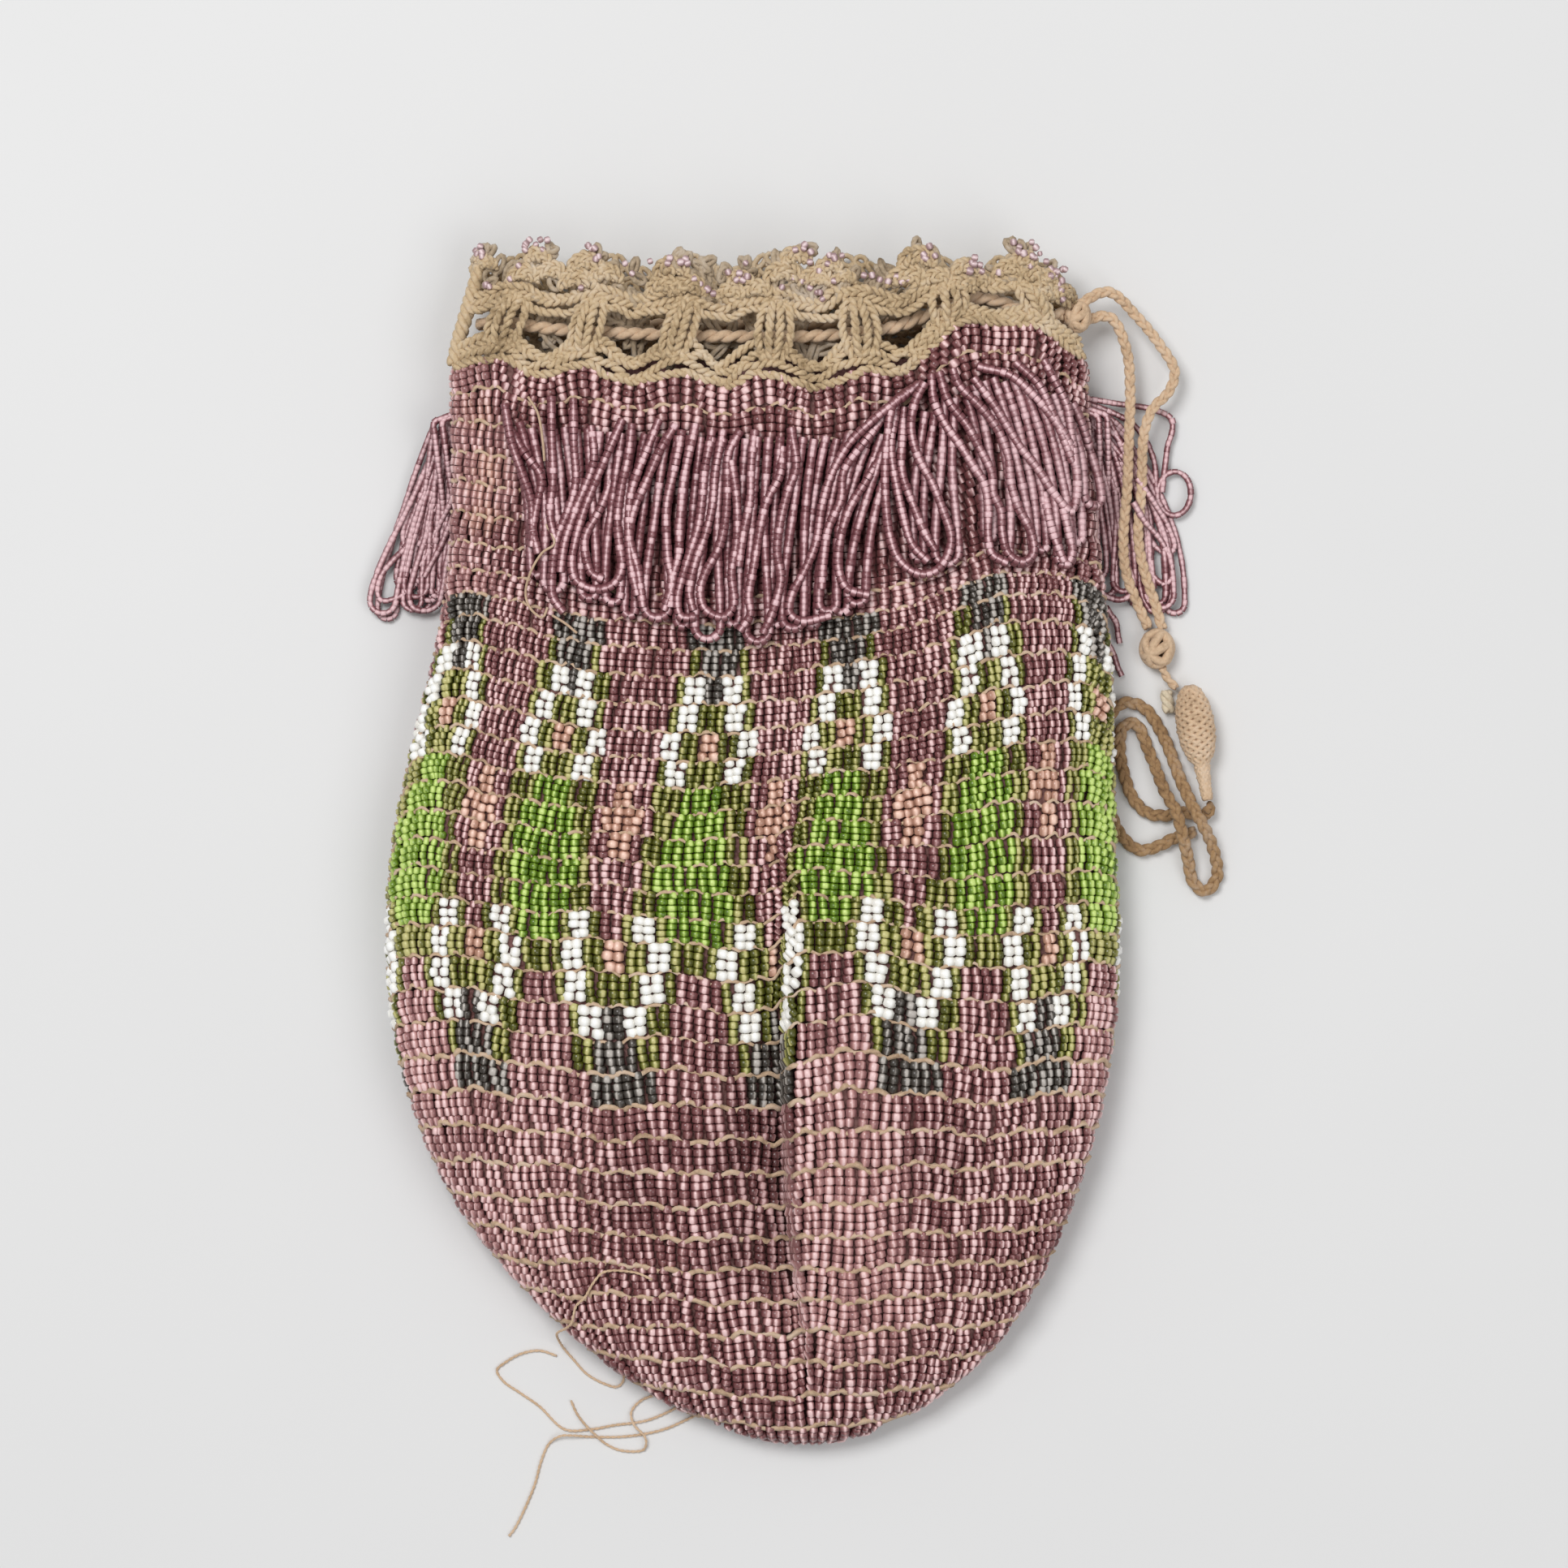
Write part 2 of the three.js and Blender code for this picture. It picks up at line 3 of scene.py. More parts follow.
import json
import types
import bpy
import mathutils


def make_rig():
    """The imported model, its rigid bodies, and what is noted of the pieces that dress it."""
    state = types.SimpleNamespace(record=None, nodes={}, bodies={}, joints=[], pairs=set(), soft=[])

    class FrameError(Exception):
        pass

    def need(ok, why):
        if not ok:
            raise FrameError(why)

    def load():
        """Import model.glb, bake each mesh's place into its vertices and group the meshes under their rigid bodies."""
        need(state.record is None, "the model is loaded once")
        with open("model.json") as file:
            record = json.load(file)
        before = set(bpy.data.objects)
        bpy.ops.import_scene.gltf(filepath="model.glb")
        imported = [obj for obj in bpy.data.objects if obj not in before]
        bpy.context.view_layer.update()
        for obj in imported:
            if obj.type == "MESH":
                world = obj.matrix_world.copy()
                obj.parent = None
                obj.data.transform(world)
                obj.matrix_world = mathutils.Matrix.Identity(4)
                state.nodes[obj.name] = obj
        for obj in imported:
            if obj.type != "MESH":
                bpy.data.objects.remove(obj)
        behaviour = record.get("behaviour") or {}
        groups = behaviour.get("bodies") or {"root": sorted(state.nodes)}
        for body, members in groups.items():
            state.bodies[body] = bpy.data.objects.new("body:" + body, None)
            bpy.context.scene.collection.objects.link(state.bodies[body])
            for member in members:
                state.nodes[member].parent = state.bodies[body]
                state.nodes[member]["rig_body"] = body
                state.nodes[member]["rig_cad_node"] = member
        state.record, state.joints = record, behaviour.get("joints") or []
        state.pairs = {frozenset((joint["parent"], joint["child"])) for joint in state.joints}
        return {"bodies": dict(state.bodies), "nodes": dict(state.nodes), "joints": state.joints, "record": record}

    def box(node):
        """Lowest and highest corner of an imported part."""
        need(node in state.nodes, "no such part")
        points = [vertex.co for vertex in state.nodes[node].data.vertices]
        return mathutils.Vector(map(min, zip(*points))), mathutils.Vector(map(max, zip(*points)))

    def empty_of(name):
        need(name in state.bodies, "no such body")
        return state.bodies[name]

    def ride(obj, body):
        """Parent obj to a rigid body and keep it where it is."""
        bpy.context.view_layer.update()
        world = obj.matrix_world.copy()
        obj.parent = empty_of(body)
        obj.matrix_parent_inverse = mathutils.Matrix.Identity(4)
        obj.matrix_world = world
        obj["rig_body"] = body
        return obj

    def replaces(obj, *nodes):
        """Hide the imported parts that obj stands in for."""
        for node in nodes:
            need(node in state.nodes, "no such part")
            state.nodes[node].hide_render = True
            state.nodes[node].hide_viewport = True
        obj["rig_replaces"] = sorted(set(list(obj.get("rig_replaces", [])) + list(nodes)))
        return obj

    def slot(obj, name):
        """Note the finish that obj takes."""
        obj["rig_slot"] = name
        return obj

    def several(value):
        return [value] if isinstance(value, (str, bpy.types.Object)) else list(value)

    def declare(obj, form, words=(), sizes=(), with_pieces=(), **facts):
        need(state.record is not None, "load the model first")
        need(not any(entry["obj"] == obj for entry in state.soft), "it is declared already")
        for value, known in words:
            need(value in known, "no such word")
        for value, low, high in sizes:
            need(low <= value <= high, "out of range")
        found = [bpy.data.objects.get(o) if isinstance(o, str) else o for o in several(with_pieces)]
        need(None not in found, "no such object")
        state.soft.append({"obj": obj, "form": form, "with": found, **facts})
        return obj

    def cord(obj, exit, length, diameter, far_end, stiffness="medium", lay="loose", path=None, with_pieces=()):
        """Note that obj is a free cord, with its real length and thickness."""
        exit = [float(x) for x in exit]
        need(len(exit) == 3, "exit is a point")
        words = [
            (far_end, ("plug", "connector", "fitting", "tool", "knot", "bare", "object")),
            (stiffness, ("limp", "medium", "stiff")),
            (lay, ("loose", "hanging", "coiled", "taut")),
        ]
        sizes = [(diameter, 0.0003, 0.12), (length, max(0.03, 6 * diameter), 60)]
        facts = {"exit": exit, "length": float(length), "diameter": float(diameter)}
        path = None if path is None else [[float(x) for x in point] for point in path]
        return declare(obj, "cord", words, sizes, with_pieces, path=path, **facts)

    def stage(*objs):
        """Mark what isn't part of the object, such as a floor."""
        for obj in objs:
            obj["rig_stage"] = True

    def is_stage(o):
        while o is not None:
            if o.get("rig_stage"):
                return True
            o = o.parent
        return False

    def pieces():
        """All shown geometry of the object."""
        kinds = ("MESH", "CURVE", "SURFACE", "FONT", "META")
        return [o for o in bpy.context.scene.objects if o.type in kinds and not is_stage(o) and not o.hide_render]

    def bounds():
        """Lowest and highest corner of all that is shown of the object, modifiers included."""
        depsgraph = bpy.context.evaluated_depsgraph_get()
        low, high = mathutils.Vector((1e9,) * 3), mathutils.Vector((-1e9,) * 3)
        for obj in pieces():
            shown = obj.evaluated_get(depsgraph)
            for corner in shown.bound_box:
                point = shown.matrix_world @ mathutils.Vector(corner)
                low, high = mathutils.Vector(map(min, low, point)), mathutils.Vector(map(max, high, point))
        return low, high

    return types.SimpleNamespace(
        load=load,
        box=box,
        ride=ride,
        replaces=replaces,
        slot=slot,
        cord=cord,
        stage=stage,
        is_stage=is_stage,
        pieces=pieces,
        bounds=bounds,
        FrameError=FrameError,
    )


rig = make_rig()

bl_info = {
    "name": "Beaded reticule",
    "version": (1, 0, 0),
    "blender": (4, 5, 0),
    "location": "View3D > Sidebar > Reticule",
    "description": "Dresses the beaded reticule with glass beads, crochet and twisted cords",
    "category": "Add Mesh",
}

import json
import math

import bmesh
import bpy
import numpy as np
from bpy.props import FloatProperty, FloatVectorProperty, IntProperty, PointerProperty

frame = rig.load()
CAD_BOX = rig.bounds()
MM = 0.001

# Seeds of the random draws of each group of pieces
UPPER_SEED, LOWER_SEED, HIDDEN_SEED, BACK_SEED = 3, 5, 7, 9
THREAD_SEED = 21
FRINGE_SEED = 31
HEADING_SEED = 41
SIDE_SEED = 51

# The bag's form in metres; heights are above the tip of its rounded base
BAG_LENGTH = 187.6 * MM
NECK_SHARE = 0.222
MOTIF_SHARE = 0.307
NECK_ROWS = 8
MOTIF_ROWS = 12
BASE_ROWS = 16
NECK_ROW = BAG_LENGTH * NECK_SHARE / NECK_ROWS
MOTIF_ROW = BAG_LENGTH * MOTIF_SHARE / MOTIF_ROWS
BASE_ROW = BAG_LENGTH * (1 - NECK_SHARE - MOTIF_SHARE) / BASE_ROWS
FIRST_BASE = NECK_ROWS + MOTIF_ROWS
ROWS = FIRST_BASE + BASE_ROWS
BELLY_WIDTH = 126 * MM
NECK_WIDTH = 109.6 * MM
BELLY_HEIGHT = 86 * MM
BELLY_DEPTH = 18 * MM
NECK_DEPTH = 14 * MM
ROW_RELIEF = 0.8 * MM
RIPPLE = 1.3 * MM
FOLD_DEPTH = 4.5 * MM
FOLD_AT = 0.09
DENT_AT = -0.43
SEAM_LEVEL = 0.42
ROW_SAG = 6 * MM
SAG_LIMIT = 0.4
RIGHT_RISE = 9 * MM
TIP_LEAN = 7.2 * MM
BELLY_LEAN = 1.85 * MM
GATHER = 1.3 * MM
POSTS = 7
LACE_HEIGHT = 15.5 * MM
LACE_WALL = 1.6 * MM
SCALLOP = 2.5 * MM
LACE_DRAW = 0.3
EYELET_LEVEL = 0.38
STRAND = 1.4 * MM
FRINGE_DROP = 35 * MM
HEADING_ROW = 2
DRAWSTRING = 2 * MM
RUN_SHOWN = 1.2 * DRAWSTRING
LINK_CORD = 1.6 * MM
STUB = 2.3 * MM
PULL_CORD = 2.3 * MM
THREAD = 0.5 * MM
GAP = 0.3 * MM
BALL = 7 * MM
BALL_LENGTH = 14 * MM
BALL_NECK = 6.2 * MM
WEAVE = 9
WEAVE_TURNS = 2.6

# From heights above the tip to the model's frame; the solid starts in its lowest row
LOWEST_RING = 0.12
TIP = (1 - SAG_LIMIT) * LOWEST_RING * BASE_ROW
LACE_LOW, LACE_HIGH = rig.box("lace_header")
MOUTH_LEAN = 0.5 * BELLY_LEAN
SHIFT = np.array(((LACE_LOW.x + LACE_HIGH.x) / 2 - MOUTH_LEAN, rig.box("beaded_bag")[0].y - TIP, 0.0))


def linear(red, green, blue):
    """The linear colour of a screen colour given in 0 to 255."""
    screen = np.array((red, green, blue)) / 255
    bent = np.where(screen <= 0.04045, screen / 12.92, ((screen + 0.055) / 1.055) ** 2.4)
    return tuple(float(c) for c in bent)


def length_property(name, description, metres):
    return FloatProperty(
        name=name, description=description, default=metres, min=0, subtype="DISTANCE", unit="LENGTH"
    )


def count_property(name, description, count):
    return IntProperty(name=name, description=description, default=count, min=2)


def colour_property(name, description, red, green, blue):
    return FloatVectorProperty(
        name=name, description=description, default=linear(red, green, blue), min=0, max=1, subtype="COLOR"
    )


class ReticuleSizes(bpy.types.PropertyGroup):
    """Sizes of the beads, yarns and cords."""

    columns: count_property("Columns", "Strands across the rows of the upper flowers", 86)
    middle_columns: count_property("Middle columns", "Strands across the rows of the diamonds", 79)
    base_columns: count_property("Base columns", "Strands across the plain rows under the pattern", 72)
    neck_columns: count_property("Neck columns", "Strands across the gathered neck", 62)
    strand_beads: count_property("Beads in a strand", "Beads between two row threads", 4)
    strand_width: length_property("Strand width", "Width of a strand of beads in the fringe", 1.7 * MM)
    side_strand_width: length_property(
        "Side strand width", "Width of a strand in the side bunches", 1.15 * MM
    )
    bead_length: length_property("Bead length", "Pitch of the beads in the fringe", 1.05 * MM)
    row_thread: length_property("Row thread", "Thickness of the thread between the rows", 0.78 * MM)
    base_thread: length_property("Base thread", "Thickness of the thread between the plain rows", 1.15 * MM)
    yarn: length_property("Crochet yarn", "Thickness of the yarn of the heading", 1.0 * MM)


class ReticuleColours(bpy.types.PropertyGroup):
    """Colours of the glass, cotton and floor."""

    # Each glass has a painted shade for the sides of its beads, its own colour, and a painted highlight for their
    # crowns
    plum_deep: colour_property("Plum sides", "Sides of the plum beads", 116, 69, 70)
    plum: colour_property("Plum", "Glass of the ground rows", 166, 119, 118)
    plum_glint: colour_property("Plum glint", "Light on the plum glass", 240, 204, 203)
    # Paler plum, for faded glass and for light painted on the glass
    plum_worn: colour_property("Worn plum", "Plum glass where it has paled", 209, 159, 154)
    fringe_deep: colour_property("Fringe sides", "Sides of the fringe beads", 116, 68, 73)
    fringe: colour_property("Fringe", "Glass of the fringe", 154, 106, 111)
    fringe_glint: colour_property("Fringe glint", "Light on the fringe", 230, 192, 196)
    olive_deep: colour_property("Olive sides", "Sides of the olive beads", 76, 78, 20)
    olive: colour_property("Olive", "Glass of the leaves", 126, 126, 56)
    olive_glint: colour_property("Olive glint", "Light on the olive glass", 198, 192, 128)
    green_deep: colour_property("Green sides", "Sides of the green beads", 86, 116, 24)
    green: colour_property("Green", "Glass of the diamonds", 136, 168, 58)
    green_glint: colour_property("Green glint", "Light on the green glass", 204, 226, 130)
    white_deep: colour_property("White sides", "Sides of the white beads", 238, 235, 228)
    white: colour_property("White", "Opaque white glass", 250, 249, 244)
    white_glint: colour_property("White glint", "Light on the white glass", 254, 254, 252)
    peach_deep: colour_property("Peach sides", "Sides of the peach beads", 176, 132, 112)
    peach: colour_property("Peach", "Glass of the flower centres", 218, 174, 154)
    peach_glint: colour_property("Peach glint", "Light on the peach glass", 246, 208, 190)
    slate_deep: colour_property("Slate sides", "Sides of the slate beads", 60, 54, 48)
    slate: colour_property("Slate", "Glass of the flower caps", 96, 90, 84)
    slate_glint: colour_property("Slate glint", "Light on the slate glass", 186, 179, 172)
    stain: colour_property("Stain", "Rust of old thread on the beads", 206, 158, 112)
    lilac_deep: colour_property("Lilac sides", "Sides of the heading's beads", 160, 130, 132)
    lilac: colour_property("Lilac", "Beads on the heading", 196, 168, 170)
    lilac_glint: colour_property("Lilac glint", "Light on the heading's beads", 228, 206, 208)
    crochet: colour_property("Crochet", "Cotton of the heading", 205, 181, 146)
    net: colour_property("Net", "Greyed cotton of the heading's net", 182, 163, 138)
    cord: colour_property("Cord", "Cotton of the drawstring", 216, 187, 156)
    pull: colour_property("Pull cord", "Cotton of the pull loop", 170, 137, 100)
    ivory: colour_property("Ivory", "Cut end of the inner cord", 228, 214, 188)
    thread: colour_property("Thread", "Sewing thread of the rows", 202, 174, 146)
    lining: colour_property("Lining", "Cloth behind the beads", 138, 92, 87)
    floor: colour_property("Floor", "Table under the bag", 226, 226, 226)


# Form of the bag


def smooth(x, low, high):
    t = np.clip((x - low) / (high - low), 0, 1)
    return t * t * (3 - 2 * t)


def mix(a, b, t):
    return a + (b - a) * t


def unit(vectors):
    return vectors / np.maximum(np.linalg.norm(vectors, axis=-1, keepdims=True), 1e-12)


def row_height(k):
    """Height of the thread line k rows under the mouth."""
    neck = np.clip(k, 0, NECK_ROWS)
    flowers = np.clip(k - NECK_ROWS, 0, MOTIF_ROWS)
    base = np.clip(k - NECK_ROWS - MOTIF_ROWS, 0, BASE_ROWS)
    return BAG_LENGTH - neck * NECK_ROW - flowers * MOTIF_ROW - base * BASE_ROW


def roundness(h):
    return np.sqrt(np.maximum(0, 1 - np.maximum(0, 1 - h / BELLY_HEIGHT) ** 2))


def taper(h):
    up = np.clip((h - BELLY_HEIGHT) / (0.94 * BAG_LENGTH - BELLY_HEIGHT), 0, 1)
    return 0.5 + 0.5 * np.cos(np.pi * up)


def half_width(h):
    drawn = LACE_DRAW * np.maximum(0, h - BAG_LENGTH)
    return mix(NECK_WIDTH, BELLY_WIDTH, taper(h)) * roundness(h) ** 1.15 / 2 - drawn


def depth(h):
    return mix(NECK_DEPTH, BELLY_DEPTH, taper(h)) * roundness(h) ** 0.8


def centre(h):
    """The tip and the neck lean to the right, the belly to the left."""
    up = h / BAG_LENGTH
    neck = 2 * smooth(up, 0.52, 0.78) - 0.5 * smooth(up, 0.8, 1)
    tip = TIP_LEAN * np.maximum(0, 1 - h / BELLY_HEIGHT) ** 2
    return tip + BELLY_LEAN * (neck - smooth(up, 0.08, 0.25))


def lift(h):
    return (STRAND + 2 * GAP) * smooth(h, 0.6 * BAG_LENGTH, 0.71 * BAG_LENGTH)


def sag(xi, h):
    """Rows dip in the middle and ride up at the right of the mouth."""
    up = np.clip(h / BAG_LENGTH, 0, 1)
    dip = ROW_SAG * (1 + 2 * smooth(up, 0.45, 0.7) - smooth(up, 0.75, 1)) / 3
    rise = RIGHT_RISE * np.exp(-(((xi - 0.69) / 0.21) ** 2)) * smooth(up, 0.65, 1)
    return rise - np.minimum(dip, SAG_LIMIT * h) * (1 - xi * xi)


def back_sag(xi, h):
    return mix(sag(-1.0, h), sag(1.0, h), (xi + 1) / 2)


def fold(xi, h):
    """Lap fold down the belly with its right side on top, and a soft dent to its left."""
    wide = half_width(h)
    up = h / BELLY_HEIGHT
    reach = np.sin(np.pi * np.clip(up - 0.12, 0, 1)) ** 0.7
    d = (xi - FOLD_AT) * wide / FOLD_DEPTH
    lap = smooth(d, -0.22, 0.22)
    valley = np.exp(-((d / 2) ** 2)) * (lap - 1)
    ridge = 0.35 * np.exp(-((d / 2.7) ** 2)) * lap
    low = np.sin(np.pi * np.clip((up - 0.16) / 0.6, 0, 1))
    dent = 0.5 * low * np.exp(-(((xi - DENT_AT) * wide / FOLD_DEPTH / 1.8) ** 2))
    return FOLD_DEPTH * (reach * (valley + ridge) - dent)


def gather(xi, h):
    near = smooth(h, 0.86 * BAG_LENGTH, BAG_LENGTH)
    return GATHER * near * (0.5 - 0.5 * np.cos(np.pi * POSTS * (xi + 1)))


def ripple(xi, h):
    """The top rows rise under the posts of the heading and dip between them."""
    near = smooth(h, 0.93 * BAG_LENGTH, BAG_LENGTH) * (1 - smooth(h, BAG_LENGTH, BAG_LENGTH + 4 * MM))
    return -RIPPLE * near * np.cos(np.pi * POSTS * (xi + 1))


def front(xi, h, out):
    """Points of the upper face: xi runs across from -1 to 1, out is the offset off the wall."""
    xi, h, out = np.broadcast_arrays(*(np.asarray(v, float) for v in (xi, h, out)))
    bulge = np.sqrt(np.maximum(0, 1 - xi * xi)) ** 0.75
    edge = SEAM_LEVEL * depth(h)
    lap = np.where(out < 0, -out * 0.9 / half_width(h), 0)
    z = edge + (depth(h) - edge + out) * bulge + fold(xi - lap, h) + gather(xi, h)
    x = centre(h) + xi * (half_width(h) + out)
    return np.stack((x, h + sag(xi, h) + ripple(xi, h), lift(h) + z), -1) + SHIFT


def back(xi, h, out):
    """Points of the face that lies on the table."""
    xi, h, out = np.broadcast_arrays(*(np.asarray(v, float) for v in (xi, h, out)))
    edge = SEAM_LEVEL * depth(h)
    flat = np.minimum(1, 1.25 * np.sqrt(np.maximum(0, 1 - xi * xi)) ** 0.8)
    rib = np.where(out < 0, -out * flat, (ROW_RELIEF - out) * (1 - flat))
    x = centre(h) + xi * (half_width(h) + out)
    return np.stack((x, h + back_sag(xi, h), lift(h) + edge * (1 - flat) + rib), -1) + SHIFT


def over(x, y, out):
    """Points on the upper face at a place given in metres from the tip, out off the wall."""
    x, y = np.asarray(x, float), np.asarray(y, float)
    h = y
    for _ in range(5):
        xi = np.clip((x - centre(h)) / half_width(h), -1, 1)
        h = y - sag(xi, h)
    return front(xi, h, out)


def lace_height(level, xi, droop):
    low = droop(xi, BAG_LENGTH)
    top = LACE_HEIGHT + SCALLOP * (0.5 - 0.5 * np.cos(np.pi * POSTS * (xi + 1)))
    return BAG_LENGTH + mix(GAP + low, top, level) - low


def lace_front(xi, level, out):
    xi = np.asarray(xi, float)
    return front(xi, lace_height(level, xi, sag), out)


def lace_back(xi, level, out):
    xi = np.asarray(xi, float)
    return back(xi, lace_height(level, xi, back_sag), out)


# Lines


# Nearly upright, so that no line runs straight along it
TWIST_UP = (0.05, 0.09, 1.0)
SPLINE_STEPS = 24


def run_along(line):
    """Length of the line up to each of its points."""
    return np.r_[0, np.cumsum(np.linalg.norm(np.diff(line, axis=0), axis=1))]


def evenly(points, step):
    """The same line with points a step apart."""
    points = np.asarray(points, float)
    along = run_along(points)
    count = max(2, int(round(along[-1] / step)) + 1)
    wanted = np.linspace(0, along[-1], count)
    return np.stack([np.interp(wanted, along, points[:, i]) for i in range(3)], 1)


def route(knots, step):
    """A smooth line through knots, with points a step apart."""
    knots = np.asarray(knots, float)
    knots = np.vstack((2 * knots[0] - knots[1], knots, 2 * knots[-1] - knots[-2]))
    t = np.linspace(0, 1, SPLINE_STEPS, endpoint=False)[:, None]
    line = []
    for p0, p1, p2, p3 in zip(knots, knots[1:], knots[2:], knots[3:]):
        d0, d1, d2 = (np.linalg.norm(b - a) ** 0.5 for a, b in ((p0, p1), (p1, p2), (p2, p3)))
        m1 = d1 * ((p1 - p0) / d0 - (p2 - p0) / (d0 + d1) + (p2 - p1) / d1)
        m2 = d1 * ((p2 - p1) / d1 - (p3 - p1) / (d1 + d2) + (p3 - p2) / d2)
        square, cube = 3 * p2 - 3 * p1 - 2 * m1 - m2, 2 * p1 - 2 * p2 + m1 + m2
        line.append(p1 + m1 * t + square * t**2 + cube * t**3)
    return evenly(np.vstack(line + [knots[-2]]), step)


def line_length(line):
    return float(np.linalg.norm(np.diff(line, axis=0), axis=1).sum())


def line_axes(line, up=(0.0, 0.0, 1.0)):
    """Across, along and up at each point of a line."""
    along = unit(np.gradient(line, axis=0))
    across = unit(np.cross(along, up))
    return across, along, np.cross(across, along)


def plies(line, count, lay, offset, start=0.0):
    """Lines of the plies of a twisted cord; lay is the length of one turn."""
    across, _, up = line_axes(line, TWIST_UP)
    turned = run_along(line) * 2 * np.pi / lay
    made = []
    for i in range(count):
        angle = (start + turned + 2 * np.pi * i / count)[:, None]
        made.append(line + offset * (across * np.cos(angle) + up * np.sin(angle)))
    return made


def braid(line, lay, wide, high):
    """Lines of a flat braid of three; lay is the length in which one of them crosses and comes back."""
    across, _, up = line_axes(line, TWIST_UP)
    turned = run_along(line) * 2 * np.pi / lay
    made = []
    for i in range(3):
        angle = (turned + 2 * np.pi * i / 3)[:, None]
        made.append(line + across * wide * np.cos(angle) + up * high * np.sin(2 * angle))
    return made


# Pieces


def clear_selection():
    if bpy.context.mode != "OBJECT":
        bpy.ops.object.mode_set(mode="OBJECT")
    bpy.ops.object.select_all(action="DESELECT")


def make_active(piece):
    clear_selection()
    piece.select_set(True)
    bpy.context.view_layer.objects.active = piece


def strands(name, lines, thickness, sides=1, closed=False, wave=None):
    """Round strands along lines of points: one bevelled curve, turned into a mesh."""
    curve = bpy.data.curves.new(name, "CURVE")
    curve.dimensions = "3D"
    curve.bevel_depth = thickness / 2
    curve.bevel_resolution = sides
    curve.use_fill_caps = True
    for points in lines:
        spline = curve.splines.new("POLY")
        spline.points.add(len(points) - 1)
        spline.points.foreach_set("co", np.c_[points, np.ones(len(points))].ravel())
        spline.use_cyclic_u = closed
        if wave is not None:
            spline.points.foreach_set("radius", np.ascontiguousarray(wave(len(points)), float))
    piece = bpy.data.objects.new(name, curve)
    bpy.context.collection.objects.link(piece)
    make_active(piece)
    bpy.ops.object.convert(target="MESH")
    bpy.ops.object.mode_set(mode="EDIT")
    bpy.ops.mesh.select_all(action="SELECT")
    bpy.ops.mesh.remove_doubles(threshold=1e-7)
    bpy.ops.object.mode_set(mode="OBJECT")
    bpy.ops.object.shade_smooth()
    return piece


def joined(name, pieces):
    make_active(pieces[0])
    for piece in pieces:
        piece.select_set(True)
    if len(pieces) > 1:
        bpy.ops.object.join()
    pieces[0].name = name
    pieces[0].data.name = name
    return pieces[0]


def settle(piece, finish, slot):
    """Puts a finished piece on the bag with its finish and its material slot."""
    piece.data.materials.clear()
    piece.data.materials.append(finish)
    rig.ride(piece, "root")
    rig.slot(piece, slot)
    return piece


def bead_master(sides, rounded):
    """One bead with its hole along Y: its points, loops and face starts, and which faces are smooth."""
    clear_selection()
    bpy.ops.mesh.primitive_cylinder_add(vertices=sides, radius=0.5, depth=1, rotation=(math.pi / 2, 0, 0))
    bead = bpy.context.object
    bpy.ops.object.transform_apply(location=False, rotation=True, scale=False)
    if rounded:
        bpy.ops.object.mode_set(mode="EDIT")
        bpy.ops.mesh.select_mode(type="EDGE")
        bpy.ops.mesh.select_all(action="DESELECT")
        shape = bmesh.from_edit_mesh(bead.data)
        for edge in shape.edges:
            edge.select = edge.verts[0].co.y * edge.verts[1].co.y > 0
        bmesh.update_edit_mesh(bead.data)
        bpy.ops.mesh.bevel(offset=rounded, segments=1, affect="EDGES")
        bpy.ops.object.mode_set(mode="OBJECT")
    mesh = bead.data
    points = np.empty(len(mesh.vertices) * 3)
    mesh.vertices.foreach_get("co", points)
    loops = np.empty(len(mesh.loops), int)
    mesh.loops.foreach_get("vertex_index", loops)
    starts = np.empty(len(mesh.polygons), int)
    mesh.polygons.foreach_get("loop_start", starts)
    smoothed = np.array([abs(face.normal.y) < 0.9 for face in mesh.polygons])
    bpy.data.objects.remove(bead)
    return points.reshape(-1, 3), loops, starts, smoothed


def strung(name, master, places, shades):
    """Copies of one bead at places, each its point and its three axes at full size, as one mesh."""
    points, loops, starts, smoothed = master
    count = len(places)
    middle, across, along, up = (places[:, None, i, :] for i in range(4))
    co = middle + points[None, :, :1] * across + points[None, :, 1:2] * along + points[None, :, 2:] * up
    mesh = bpy.data.meshes.new(name)
    mesh.vertices.add(count * len(points))
    mesh.vertices.foreach_set("co", co.astype(np.float32).ravel())
    number = np.arange(count)[:, None]
    mesh.loops.add(count * len(loops))
    mesh.loops.foreach_set("vertex_index", (loops + number * len(points)).astype(np.int32).ravel())
    mesh.polygons.add(count * len(starts))
    mesh.polygons.foreach_set("loop_start", (starts + number * len(loops)).astype(np.int32).ravel())
    mesh.polygons.foreach_set("use_smooth", np.tile(smoothed, count))
    # How far each point faces up off the bead's hole; the glass paints its side shade and its highlight from it
    crown = 0.5 + 0.5 * points[:, 2] / np.hypot(points[:, 0], points[:, 2])
    for label, values in (("crown", np.tile(crown, count)), ("shade", np.repeat(shades, len(points)))):
        mesh.attributes.new(label, "FLOAT", "POINT").data.foreach_set("value", values.astype(np.float32))
    mesh.update(calc_edges=True)
    mesh.validate()
    piece = bpy.data.objects.new(name, mesh)
    bpy.context.collection.objects.link(piece)
    return piece


# Finishes


class Value:
    """A shader value; arithmetic on it adds Math nodes to its finish."""

    def __init__(self, finish, socket):
        self.finish = finish
        self.socket = socket

    def math(self, operation, first, second):
        return self.finish.node("ShaderNodeMath", {"operation": operation}, {0: first, 1: second})

    def __add__(self, other):
        return self.math("ADD", self, other)

    def __radd__(self, other):
        return self.math("ADD", other, self)

    def __sub__(self, other):
        return self.math("SUBTRACT", self, other)

    def __rsub__(self, other):
        return self.math("SUBTRACT", other, self)

    def __mul__(self, other):
        return self.math("MULTIPLY", self, other)

    def __rmul__(self, other):
        return self.math("MULTIPLY", other, self)


SPOT_HEIGHT = 12 * MM


